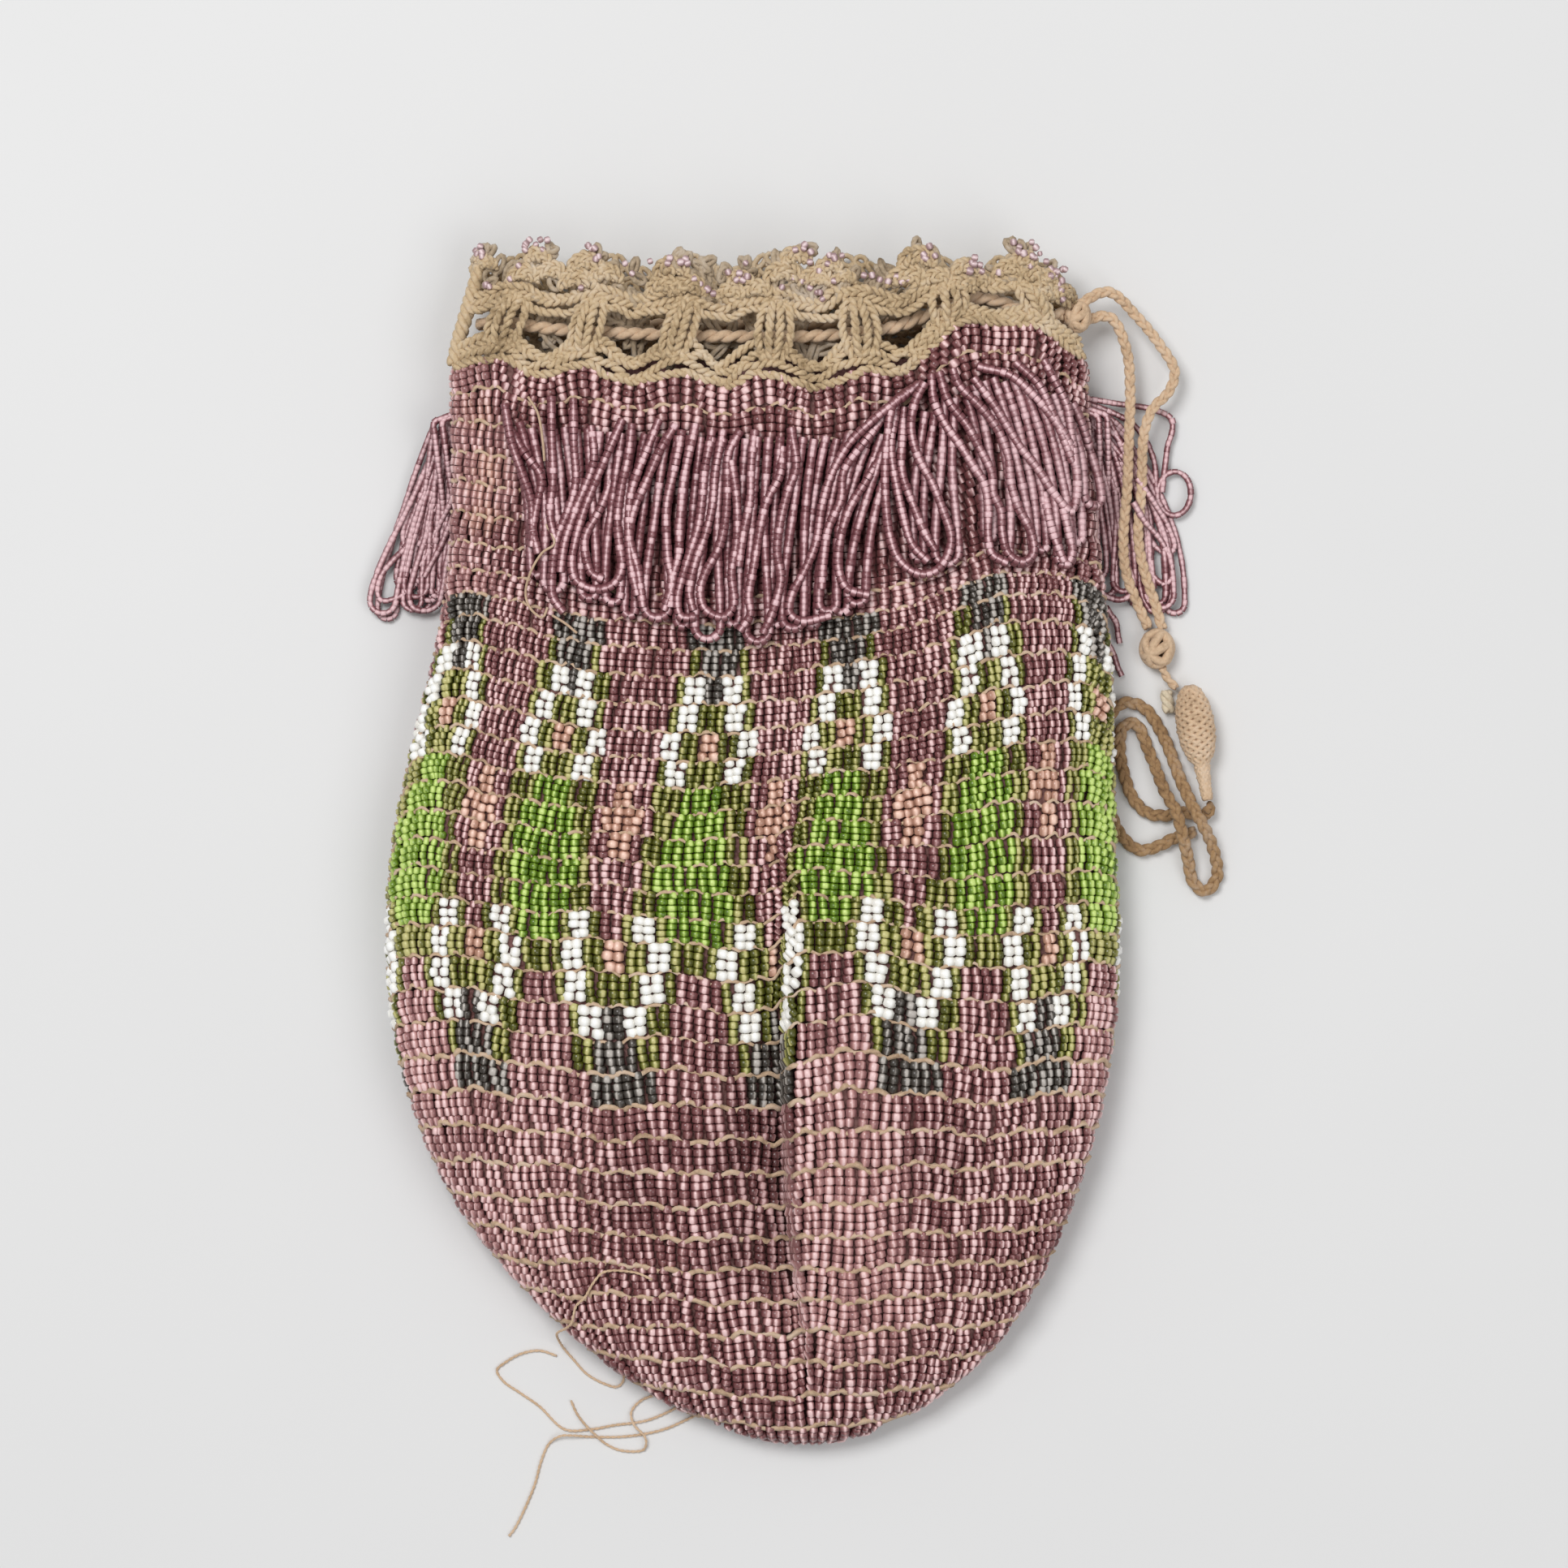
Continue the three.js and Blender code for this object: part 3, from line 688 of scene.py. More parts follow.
class Finish:
    """A node material; numbers that don't vary are set on its shader's own sockets."""

    def __init__(self, name, **fixed):
        self.material = bpy.data.materials.new(name)
        self.material.use_nodes = True
        self.tree = self.material.node_tree
        self.shader = self.tree.nodes["Principled BSDF"]
        self.surface(fixed)

    def feed(self, socket, value):
        if isinstance(value, Value):
            self.tree.links.new(value.socket, socket)
        else:
            socket.default_value = value

    def node(self, kind, settings, values, output=0):
        made = self.tree.nodes.new(kind)
        for key, setting in settings.items():
            if key == "stops":
                self.stops(made.color_ramp, setting)
            else:
                setattr(made, key, setting)
        for key, value in values.items():
            self.feed(made.inputs[key], value)
        return Value(self, made.outputs[output])

    def stops(self, ramp, stops):
        while len(ramp.elements) < len(stops):
            ramp.elements.new(1.0)
        for element, (position, colour) in zip(ramp.elements, stops):
            element.position = position
            element.color = colour

    def surface(self, values):
        for key, value in values.items():
            self.feed(self.shader.inputs[key.replace("_", " ")], value)

    def place(self):
        return self.node("ShaderNodeTexCoord", {}, {}, "Object")

    def attribute(self, name):
        return self.node("ShaderNodeAttribute", {"attribute_name": name}, {}, "Fac")

    def noise(self, scale, detail=2.0, roughness=0.5):
        sockets = {"Vector": self.place(), "Scale": scale, "Detail": detail, "Roughness": roughness}
        return self.node("ShaderNodeTexNoise", {}, sockets, "Fac")

    def ramp(self, factor, *stops):
        return self.node("ShaderNodeValToRGB", {"stops": stops}, {"Fac": factor}, "Color")

    def blend(self, factor, first, second):
        settings = {"data_type": "RGBA", "clamp_factor": True}
        return self.node("ShaderNodeMix", settings, {0: factor, 6: first, 7: second}, 2)

    def spot(self, x, y, radius):
        """One inside a soft round patch at a place in metres from the tip, and nought outside it."""
        middle = (x + SHIFT[0], y + SHIFT[1], SPOT_HEIGHT)
        between = {0: self.place(), 1: middle}
        away = self.node("ShaderNodeVectorMath", {"operation": "DISTANCE"}, between, "Value")
        ends = {"Value": away, "From Min": 0.35 * radius, "From Max": radius, "To Min": 1.0, "To Max": 0.0}
        return self.node("ShaderNodeMapRange", {"interpolation_type": "SMOOTHSTEP"}, ends)

    def bump(self, height, strength, distance):
        sockets = {"Height": height, "Strength": strength, "Distance": distance}
        self.surface({"Normal": self.node("ShaderNodeBump", {}, sockets, "Normal")})


def toned(colour, amount):
    """A colour made deeper below one, or moved towards white above one."""
    colour = np.array(colour[:3])
    tone = colour ** (2 - amount) * amount if amount <= 1 else mix(colour, np.ones(3), amount - 1)
    return (*(float(c) for c in tone), 1.0)


def glass(name, colours, kind, uneven, faded=(), stained=()):
    """Small glass beads, with painted shade at their sides and a painted highlight along their crowns."""
    finish = Finish(name, Specular_IOR_Level=0.5, Coat_Weight=0.15, Coat_Roughness=0.25)
    crown = finish.attribute("crown")
    shade = finish.attribute("shade")
    # The tone follows how far a point faces up, so the ramps paint shade on the sides of the beads and a highlight on
    # their crowns
    tone = crown + uneven * shade + 0.12 * finish.noise(60.0, 3.0) - (0.5 * uneven + 0.06)
    painted_side_shade, middle, painted_highlight = (toned(getattr(colours, kind + part), 1.0) for part in ("_deep", "", "_glint"))
    light = finish.ramp(tone, (0.81, painted_side_shade), (0.91, middle), (0.985, painted_highlight))
    # Paler glass for the pale spots, which stand for fading and for painted light; glass other than plum pales towards
    # its painted highlight
    worn = toned(colours.plum_worn, 1.0) if kind == "plum" else painted_highlight
    pale = finish.ramp(tone, (0.79, middle), (0.89, worn), (0.985, painted_highlight))
    # Darker glass for the dark spots, a painted shade such as the crease beside the lap fold
    dark = finish.ramp(tone, (0.81, toned(painted_side_shade, 0.6)), (0.93, painted_side_shade), (1.0, middle))
    for x, y, radius, amount in faded:
        mask = abs(amount) * finish.spot(x * MM, y * MM, radius * MM)
        light = finish.blend(mask, light, pale if amount > 0 else dark)
    for x, y, radius in stained:
        mask = finish.spot(x * MM, y * MM, radius * MM) * (crown - 0.35) * shade * 0.7
        light = finish.blend(mask, light, toned(colours.stain, 1.0))
    finish.surface({"Base Color": light, "Roughness": 0.25 + 0.2 * shade})
    return finish.material


def cotton(name, colour, fibre, contrast=1.0):
    """Worn cotton: fibres, with darker dirt and lighter rubbed places spread at random."""
    finish = Finish(name, Specular_IOR_Level=0.25, Sheen_Weight=0.15, Sheen_Roughness=0.5)
    hairs = finish.noise(fibre, 4.0, 0.65)
    dirt = finish.noise(0.09 * fibre, 3.0, 0.6)
    tone = contrast * (0.55 * hairs + 0.65 * dirt) + (0.5 - 0.6 * contrast)
    stops = ((0.15, toned(colour, 0.5)), (0.5, toned(colour, 0.97)), (0.85, toned(colour, 1.2)))
    finish.surface({"Base Color": finish.ramp(tone, *stops), "Roughness": 0.8 + 0.15 * hairs})
    finish.bump(hairs, 0.6, 0.2 * MM)
    return finish.material


def lining_cloth(colour):
    finish = Finish("lining_cloth", Specular_IOR_Level=0.2, Roughness=0.9)
    weave = finish.noise(1600.0, 2.0)
    worn = finish.noise(60.0, 3.0)
    stops = ((0.3, toned(colour, 0.55)), (0.7, toned(colour, 1.06)))
    finish.surface({"Base Color": finish.ramp(0.5 * weave + 0.5 * worn, *stops)})
    finish.bump(weave, 0.3, 0.2 * MM)
    return finish.material


def table_top(colour):
    finish = Finish("table_top", Specular_IOR_Level=0.2, Roughness=0.75)
    grain = finish.noise(14.0, 2.0)
    stops = ((0.2, toned(colour, 0.985)), (0.8, toned(colour, 1.0)))
    finish.surface({"Base Color": finish.ramp(grain, *stops)})
    return finish.material


# Pattern of the bead rows, a repeat of sixteen strands mirrored about its two flowers

REPEAT = 16
FRONT_STRANDS = 86
BACK_STRANDS = 90
FIRST_FLOWER = 4
# Strands of the pattern hidden on each side of the lap fold, how far off that shows, and where the fold ends
HIDDEN_STRANDS = 0.9
HIDDEN_REACH = 0.25
LAP_ENDS = 88 * MM, 104 * MM
# Glass, the flower it is counted from, its first row, and where it starts and ends in strands for each row
PATTERN = (
    ("slate", "upper", 1, ((0, 3.3), (0, 2.1), (0, 0.9))),
    ("white", "upper", 3, ((0.9, 3), (1.6, 3.6), (2.8, 4.9), (2, 4))),
    ("peach", "upper", 5, ((0, 1),)),
    ("green", "upper", 7, ((0, 1.6), (0, 2.8), (0, 3.5), (0, 4), (0, 3.6), (0, 2.4))),
    ("peach", "lower", 7, ((0, 1.3), (0, 2.1), (0, 0.95))),
    ("white", "lower", 12, ((2.3, 4.5), (3.4, 5.6), (2.4, 4.7), (1.2, 3.5))),
    ("peach", "lower", 13, ((0, 1.1),)),
    ("slate", "lower", 15, ((0, 1.1), (0, 2.3), (0, 3.6))),
    ("olive", "upper", 2, ((0, 3.3), (0, 4.3), (0, 4.7), (0, 5.5), (0, 5.1), (0, 4.9))),
    ("olive", "upper", 8, ((0, 5), (0, 5), (0, 5.4), (0, 6), (0, 7.1), (0, 8.1))),
    ("olive", "lower", 14, ((0, 5.9), (0, 5), (0, 4.3))),
)

GLASS_SLOTS = ("plum", "olive", "green", "white", "peach", "slate")
ROUND_GLASS = ("white", "peach")


def motif(row, away):
    """Glass of a strand: row of the pattern, and strands from the middle of the upper flower."""
    for kind, flower, first, reaches in PATTERN:
        if first <= row < first + len(reaches):
            inner, outer = reaches[row - first]
            if inner <= (away if flower == "upper" else REPEAT / 2 - away) < outer:
                return kind
    return "plum"


def strand_kinds(row, xi, share, hand):
    """Glass of each strand of a row; a share of the pattern is hidden under the lap fold."""
    if hand > 0:
        lap = 1 - smooth(row_height(row + 0.5), *LAP_ENDS)
        hidden = np.sign(xi - FOLD_AT) * np.exp(-np.abs(xi - FOLD_AT) / HIDDEN_REACH)
        turn = FRONT_STRANDS * share + HIDDEN_STRANDS * lap * hidden
    else:
        turn = FRONT_STRANDS + BACK_STRANDS * (1 - share)
    away = np.abs((turn - FIRST_FLOWER + REPEAT / 2) % REPEAT - REPEAT / 2)
    return [motif(row - NECK_ROWS + 1, one) for one in away]


# Places across the bag, and how many millimetres the rows of the flowers ride up there
UPPER_RIDE = (-0.91, -0.55, -0.15, 0.24, 0.65), (4, 1.5, 2.1, 4.5, 6.5)
LOWER_RIDE = (-0.8, -0.42, 0.06, 0.12, 0.28, 0.65), (2.5, 0.8, 0.8, 4, 4.2, 1.1)
# Heights between which one fades into the other, and at which each of them fades out
RIDE_CHANGE = 92 * MM, 114 * MM
UPPER_FADE = 136 * MM, 160 * MM
LOWER_FADE = 40 * MM, 76 * MM


def ride(xi, h):
    """How far the rows of the flowers lie above an even spread, more so at the right of the lap fold."""
    upper = np.interp(xi, *UPPER_RIDE)
    upper = upper * smooth(h, *RIDE_CHANGE) * (1 - smooth(h, *UPPER_FADE))
    lower = np.interp(xi, *LOWER_RIDE)
    lower = lower * smooth(h, *LOWER_FADE) * (1 - smooth(h, *RIDE_CHANGE))
    return MM * (upper + lower) * (1 - xi**24)


def wander(xi, h):
    """How far the rows ride up and down, and how the right side of the lap fold rides above its left."""
    low = 1 - smooth(h, 0.55 * BAG_LENGTH, 0.7 * BAG_LENGTH)
    wave = 0.45 * np.sin(11 * xi + 60 * h) + 0.35 * np.sin(23 * xi - 90 * h + 1.0)
    step = 0.5 * np.tanh((xi - FOLD_AT) / 0.04) * np.exp(-(((xi - FOLD_AT) / 0.3) ** 2))
    return ride(xi, h) + MM * low * smooth(h, 0, 0.1 * BAG_LENGTH) * (wave + step) * (1 - xi**8)


# The tuck beside the lap fold: its depth, how far left of the fold it is, its width and where it fades
CREASE = 1.2 * MM
CREASE_AT = 1.6 * MM
CREASE_WIDTH = 1.7 * MM
CREASE_START = 14 * MM, 30 * MM
CREASE_END = 78 * MM, 100 * MM


def crease(xi, h):
    """How far the left side of the lap fold tucks in under its right side."""
    d = (xi - FOLD_AT) * half_width(h)
    along = smooth(h, *CREASE_START) * (1 - smooth(h, *CREASE_END))
    return CREASE * along * np.exp(-(((d + CREASE_AT) / CREASE_WIDTH) ** 2))


# Strands past the ends of a row go on round the rim where the bag is deep enough
RIM_STRANDS = 2
RIM_SHARE = 0.12
RIM_DEPTH = 9 * MM
RIM_FROM = 0.99
EDGE = 0.9999
RIM_TUCK = 0.5 * MM
CROWDING = 0.35
FOLD_CROWDING = 0.027
FOLD_NEAR = 0.1
# Strands on the step of the lap fold, the rows that have them, and how far the fold is felt
RISER_HALF = 0.8 * MM
RISER_AT = np.array((-0.35, 0.0, 0.35)) * MM
RISER_LOW, RISER_HIGH = 20 * MM, 88 * MM
FOLD_REACH = 3 * MM


def across_face(column, columns):
    """Places of the strands of a row, crowded at the lap fold and, past the row's ends, round the rim."""
    inner = np.clip(column, 0, columns - 1)
    even = 2 * (inner + 1) / (columns + 1) - 1
    xi = mix(even, np.sin(np.pi * even / 2), CROWDING)
    xi = xi - FOLD_CROWDING * np.tanh((xi - FOLD_AT) / FOLD_NEAR) * (1 - xi * xi)
    return np.sign(xi) * (1 - (1 - np.abs(xi)) * RIM_SHARE ** np.abs(column - inner))


def folded(row):
    """Whether a row crosses the lap fold where it stands high."""
    return RISER_LOW < row_height(row + 0.5) < RISER_HIGH


def with_riser(even, share, row):
    """The strands of a row with those that hang on the step of the lap fold."""
    if not folded(row):
        return even, share
    half = half_width(row_height(row + 0.5))
    kept = np.abs((even - FOLD_AT) * half) > RISER_HALF
    every = np.r_[even[kept], FOLD_AT + RISER_AT / half]
    order = np.argsort(every)
    return every[order], np.interp(every[order], even, share)


# Limits on the gaps between strands and on the width, height and length of a bead, the length as a share of
# an even spread, and how nearly plumb the strands of the base hang
WIDEST_GAP = 1.7 * MM
NARROWEST_BEAD = 1.1 * MM
NARROWEST_RIM_BEAD = 1.75 * MM
WIDEST_BEAD = 2.4 * MM
FRONT_HIGHEST = 1.75 * MM
BACK_HIGHEST = 1.35 * MM
SHORTEST, LONGEST = 0.8, 1.4
PLUMB = 0.85


def strand_places(face, hand, row, even, columns, beads, rng, base, bow, fill):
    """Places of a row's beads, strand by strand: point, across, along and up, at full size."""
    count = len(even)
    top, low = row_height(row), row_height(row + 1)
    middle = 0.5 * (top + low)
    rim = np.abs(even) > RIM_FROM
    riser = (np.abs(even - FOLD_AT) * half_width(middle) < RISER_HALF) & (hand > 0) & folded(row)
    still = rim | riser
    gaps = np.linalg.norm(np.diff(face(even, middle, 0.0), axis=0), axis=1)
    around = np.clip(0.5 * (np.r_[gaps[0], gaps] + np.r_[gaps, gaps[-1]]), 0, WIDEST_GAP)
    at_fold = 0
    if hand > 0 and folded(row):
        at_fold = np.exp(-(((even - FOLD_AT) * half_width(middle) / FOLD_REACH) ** 2))
    pitch = mix(np.gradient(even) * half_width(middle), around, at_fold)[:, None, None]
    xi = even + ~still * rng.normal(0, 0.16, count) / columns
    slant = 0.5 * (1 - smooth(xi, -0.1, 0.15)) * (1 - smooth(top, 0.3 * BAG_LENGTH, 0.5 * BAG_LENGTH))
    lean = ~still * (rng.normal(0, 0.36, count) + slant) / columns
    raised = hand * np.abs(rng.normal(0, 0.1 * MM, (count, 1))) - RIM_TUCK * rim[:, None]

    def at(t, aside=0.0):
        spot = xi[:, None] + aside + lean[:, None] * (t - 0.5)
        height = mix(top - 0.03 * (top - low), low + 0.04 * (top - low), t)
        if row >= FIRST_BASE:
            x = centre(middle) + spot * half_width(middle)
            plumb = (x - centre(height)) / np.maximum(half_width(height), 2 * MM)
            spot = mix(spot, plumb, PLUMB * (1 - np.clip(spot, -1, 1) ** 8) * ~riser[:, None])
        spot = np.clip(spot, -EDGE, EDGE)
        height = height + (wander(spot, height) if hand > 0 else 0 * spot)
        tucked = crease(spot, height) * ~riser[:, None] if hand > 0 else 0
        return face(spot, height, base + bow * (1 - (2 * t - 1) ** 2) + raised - tucked)

    t = ((np.arange(beads) + 0.5) / beads)[None, :]
    across = unit(hand * (at(t, 0.4 / columns) - at(t, -0.4 / columns)))
    along = unit(at(t - 0.06) - at(t + 0.06))
    normal = unit(np.cross(across, along))
    towards_rim = smooth(np.abs(even), 0.88, 0.97)
    least = mix(NARROWEST_BEAD, NARROWEST_RIM_BEAD, towards_rim)[:, None, None]
    wide = np.clip(1.05 * pitch * rng.normal(1, 0.07, (count, beads, 1)), least, WIDEST_BEAD)
    high = np.minimum(wide, FRONT_HIGHEST if hand > 0 else BACK_HIGHEST)
    span = np.linalg.norm(at(t - 0.5 / beads) - at(t + 0.5 / beads), axis=-1, keepdims=True)
    span = np.clip(span, SHORTEST * (top - low) / beads, LONGEST * (top - low) / beads)
    long = np.cross(normal, across) * fill * span
    roll = rng.normal(0, 0.12, (count, 1, 1)) + rng.normal(0, 0.2, (count, beads, 1))
    rolled = across * np.cos(roll) + normal * np.sin(roll)
    return np.stack((at(t), rolled * wide, long, np.cross(rolled, unit(long)) * high), 2)


# Rows under the neck at which the number of strands changes, and the share of them that the back has
COLUMN_STEPS = (6, 8, 17)
BACK_SHARE = 0.88
FEWEST_COLUMNS = 8


def row_columns(row, sizes, hand=1):
    """Strands across one face in a row, fewer down the bag and on its back."""
    if row < NECK_ROWS:
        return sizes.neck_columns
    narrow = half_width(row_height(row + 0.5)) / half_width(row_height(NECK_ROWS + COLUMN_STEPS[-1]))
    steps = sizes.columns, sizes.middle_columns, sizes.base_columns
    across = np.interp(row - NECK_ROWS, COLUMN_STEPS, steps) * (1 if hand > 0 else BACK_SHARE)
    return max(FEWEST_COLUMNS, int(round(across * min(1, narrow))))


# Round beads: size across, along and up against the rest, and how far they stray
ROUND_SIZE = np.array((1.14, 0.95, 1.14))[:, None]
ROUND_STRAY = np.array((1, 0.6, 0.6)) * MM


def bead_rows(face, hand, rows, sizes, seed, *lay):
    """Places and shades of the beads of one face, gathered by glass."""
    rng = np.random.default_rng(seed)
    gathered = {}
    for row in rows:
        columns = row_columns(row, sizes, hand)
        rim = RIM_STRANDS if depth(row_height(row + 0.5)) > RIM_DEPTH else 0
        column = np.arange(-rim, columns + rim)
        even, share = across_face(column, columns), (column + 0.5) / columns
        if hand > 0:
            even, share = with_riser(even, share, row)
        kinds = strand_kinds(row, even, share, hand)
        for big, beads in ((False, sizes.strand_beads), (True, sizes.strand_beads - 1)):
            places = strand_places(face, hand, row, even, columns, beads, rng, *lay)
            shades = rng.normal(0.5, 0.2, (len(even), 1)) + rng.normal(0, 0.16, (len(even), beads))
            shades = np.clip(shades, 0, 1)
            for kind, one, shade in zip(kinds, places, shades):
                if (kind in ROUND_GLASS) == big:
                    if big and hand > 0:
                        one[:, 1:] *= ROUND_SIZE
                        one[:, 0] += rng.normal(0, 0.15, (len(one), 3)) * ROUND_STRAY
                    gathered.setdefault(kind, []).append((one, shade))
    return {kind: [np.concatenate(part) for part in zip(*made)] for kind, made in gathered.items()}


# Points of a loop of fringe, and the share of them on each leg
LOOP_POINTS = 160
LOOP_LEG = 0.32


def hairpin(top, foot, near, wide, height, bow=2.0):
    """Points down a strand, round its bottom bead and up again beside itself."""
    t = np.linspace(0, 1, LOOP_POINTS)
    leg = np.minimum(1, np.minimum(t, 1 - t) / LOOP_LEG)
    turn = np.clip((t - LOOP_LEG) / (1 - 2 * LOOP_LEG), 0, 1) * np.pi
    swing = (foot[0] - top[0]) * bow * (1 - leg) ** (bow - 1)
    axis = unit(np.stack((swing, np.full(LOOP_POINTS, foot[1] - top[1])), 1)).T
    spread = mix(near, wide, smooth(leg, 0.35, 1))
    across = np.where(leg < 1, np.where(t < 0.5, -1, 1) * spread, -spread * np.cos(turn))
    along = np.where(leg < 1, 0, spread * np.sin(turn))
    x = mix(top[0], foot[0], 1 - (1 - leg) ** bow) - axis[1] * across + axis[0] * along
    y = mix(top[1], foot[1], leg) + axis[0] * across + axis[1] * along
    return np.stack((x, y, height(x, y, leg)), 1)


def rest_on(x, y):
    """Height of the middle of a strand that lies on the bead rows."""
    return over(x - SHIFT[0], y - SHIFT[1], ROW_RELIEF)[..., 2] + GAP + STRAND / 2


# Operators


def sizes_of(context):
    return context.scene.reticule_sizes


def colours_of(context):
    return context.scene.reticule_colours


FLOOR_SIZE = 6
WORLD_LIGHT = 0.39
# Name, place, size and power of each lamp
LAMPS = (
    ("key", (-0.35, 0.45, 1.1), 0.5, 8.7),
    ("fill", (0.6, -0.3, 1.0), 0.8, 3.4),
)
CAMERA_AT = np.array((3.5 * MM, 114.38 * MM, 0.909))
CAMERA_LENS = 119.8
CAMERA_SENSOR = 36
CAMERA_NEAR = 0.01


class RETICULE_OT_stage(bpy.types.Operator):
    """Adds the floor, the soft lights and the camera over the bag."""

    bl_idname = "reticule.stage"
    bl_label = "Stage"

    def execute(self, context):
        clear_selection()
        bpy.ops.mesh.primitive_plane_add(size=FLOOR_SIZE)
        floor = context.object
        floor.name = "floor"
        floor.data.materials.append(table_top(colours_of(context).floor))
        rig.stage(floor)
        world = bpy.data.worlds.new("studio")
        world.use_nodes = True
        sky = world.node_tree.nodes["Background"].inputs
        sky["Color"].default_value = (1, 1, 1, 1)
        sky["Strength"].default_value = WORLD_LIGHT
        context.scene.world = world
        for name, at, size, power in LAMPS:
            bpy.ops.object.light_add(type="AREA", location=at)
            lamp = context.object
            lamp.name = name
            lamp.data.size = size
            lamp.data.energy = power
            aim = -np.array(at)
            lamp.rotation_euler = (
                math.acos(-aim[2] / np.linalg.norm(aim)),
                0,
                math.atan2(aim[1], aim[0]) - math.pi / 2,
            )
        bpy.ops.object.camera_add(location=SHIFT + CAMERA_AT, rotation=(0, 0, 0))
        camera = context.object
        camera.name = "camera_over"
        camera.data.lens = CAMERA_LENS
        camera.data.sensor_width = CAMERA_SENSOR
        camera.data.clip_start = CAMERA_NEAR
        context.scene.camera = camera
        context.scene.view_settings.view_transform = "Standard"
        return {"FINISHED"}


# Routes of the cords and threads, in millimetres from the tip and off the table


def cord_end(side):
    """Where a tail leaves the right corner of the heading."""
    corner = lace_front(1.0, EYELET_LEVEL, 0.0) - SHIFT
    return corner + np.array((-0.95 * DRAWSTRING, side * 0.6 * DRAWSTRING, side * 0.5 * DRAWSTRING))


TAIL_OUTER = (
    (59.4, 199.4, 7.8), (64.3, 195.6, 5.8), (68.8, 190.2, 5), (71.2, 186, 4.6), (70.2, 182.4, 4.6),
    (67.4, 179.4, 4.8), (65.9, 175.2, 4.8), (65.5, 165.6, 4.4), (65, 157.2, 3.2), (66, 151.6, 2.9),
    (67.9, 146, 2.3), (69.2, 141.4, 2.3),
)
TAIL_INNER = (
    (59.8, 195.2, 6), (62.8, 189.6, 5.2), (63.5, 182.4, 4.8), (63.3, 175.2, 4.8), (63, 165.6, 4.4),
    (62.4, 157.2, 3.2), (62.8, 151.6, 2.9), (64.8, 146, 2.3), (66.8, 141.6, 2.3),
)
KNOT_AT = np.array((68.3, 137.9, 2.55)) * MM
KNOT_HALF = np.array((2.9, 3.1, 2.5)) * MM
LINK = ((69.2, 134.6, 2.2), (70.2, 132.6, 2.2), (71.6, 131.1, 2.6))
STUB_AT = np.array((70.2, 128.7, 1.17)) * MM
BALL_AT = np.array((77, 111.5, 3.55)) * MM
BALL_TURN = 0.16
PULL = (
    (77.1, 110.7, 3.1), (77.4, 109.7, 2.2), (76.4, 108.9, 1.2), (74.6, 109.2, 1.2), (72.9, 109.4, 1.2),
    (69.9, 108.9, 1.2), (66.8, 109.3, 1.2), (64.4, 111.6, 1.2), (62.7, 115.9, 1.2), (61.9, 121.1, 1.2),
    (62.6, 124.4, 1.2), (64.6, 124.9, 1.2), (67.1, 119.8, 1.2), (69.7, 113, 2.6), (71.6, 109.4, 3.9),
    (72.6, 105.6, 4), (73.7, 101.4, 2.4), (74.6, 97.5, 1.2), (76.7, 95.7, 1.2), (78.8, 98.1, 1.2),
    (78, 103.3, 2.6), (76.4, 106.8, 3.9), (74.7, 109.9, 4), (72.6, 114.6, 2.4), (69.4, 122.9, 1.2),
    (66, 127.7, 1.2), (62.3, 128.4, 1.2), (59.6, 125, 1.2), (59.2, 119.4, 1.2), (60, 111, 1.2),
    (61.9, 105.8, 1.2), (65.2, 102.9, 1.2), (68.7, 103.6, 1.2), (71.5, 105, 1.2), (75, 106, 1.2),
)
STRAYS = (
    (
        (-12.2, 7.6, 0.36), (-14.4, 6.2, 0.3), (-20.2, 3.6, 0.3), (-26.1, 2.7, 0.3), (-30.1, 2, 0.3),
        (-34.7, 2, 0.3), (-39.1, 6, 0.3), (-42.4, 8.3, 0.3), (-45.4, 10.4, 0.3), (-46.5, 12.3, 0.3),
        (-45.1, 13.6, 0.3), (-42.4, 15.1, 0.3), (-39.1, 15.7, 0.3), (-36.1, 14.8, 0.3),
    ),
    (
        (-9, 5.3, 0.4), (-11.8, 4.4, 0.3), (-16.8, 2.2, 0.3), (-20.2, 1.3, 0.3), (-24.8, 0.7, 0.3),
        (-30.1, 0.7, 0.3), (-33.5, 1, 1), (-35.4, 0.9, 1), (-37.4, -0.5, 0.3), (-38.8, -3.6, 0.3),
        (-39.8, -7.3, 0.3), (-41.4, -11.3, 0.3), (-43.4, -15.3, 0.3), (-44.4, -16.6, 0.3),
    ),
    (
        (-14.4, 9.1, 0.42), (-16.6, 7.9, 0.3), (-18.5, 8, 0.3), (-21.4, 7, 0.3), (-23.1, 5, 0.5),
        (-22.6, 2.9, 1.1), (-20.6, 0.6, 1.2), (-20.9, -1.5, 0.4), (-24.8, -1.7, 0.3), (-27.4, -0.6, 0.4),
        (-29.4, 1.2, 1.1), (-31.2, 3, 1), (-32.6, 4.8, 0.4), (-33.6, 7, 0.3),
    ),
    (
        (-34.1, 20.5, 9), (-35.7, 19.4, 6.6), (-35.6, 17.8, 3), (-34.7, 16, 0.7), (-33.2, 14.2, 0.3),
        (-30.8, 11.6, 0.3), (-27.7, 9.9, 0.3), (-25.6, 9.4, 0.3), (-24.6, 10.2, 0.3), (-24.3, 11.6, 0.3),
    ),
)
# The last of them starts on the belly
STRAY_ON_BELLY = (
    (-18.8, 29.3), (-21.2, 30.4), (-23.5, 30.8), (-25.5, 30.9), (-27.2, 30.5), (-28.8, 28.6), (-30.1, 26.2),
    (-31.6, 24.6), (-32, 23), (-32.4, 21.4),
)


# Lengths in which the plies of the cords go round once
TAIL_LAY = 5.6 * MM
RUN_LAY = 5.2 * MM
LINK_LAY = 3.6 * MM
STUB_LAY = 5 * MM
PULL_LAY = 6.4 * MM
THREAD_LAY = 1.9 * MM


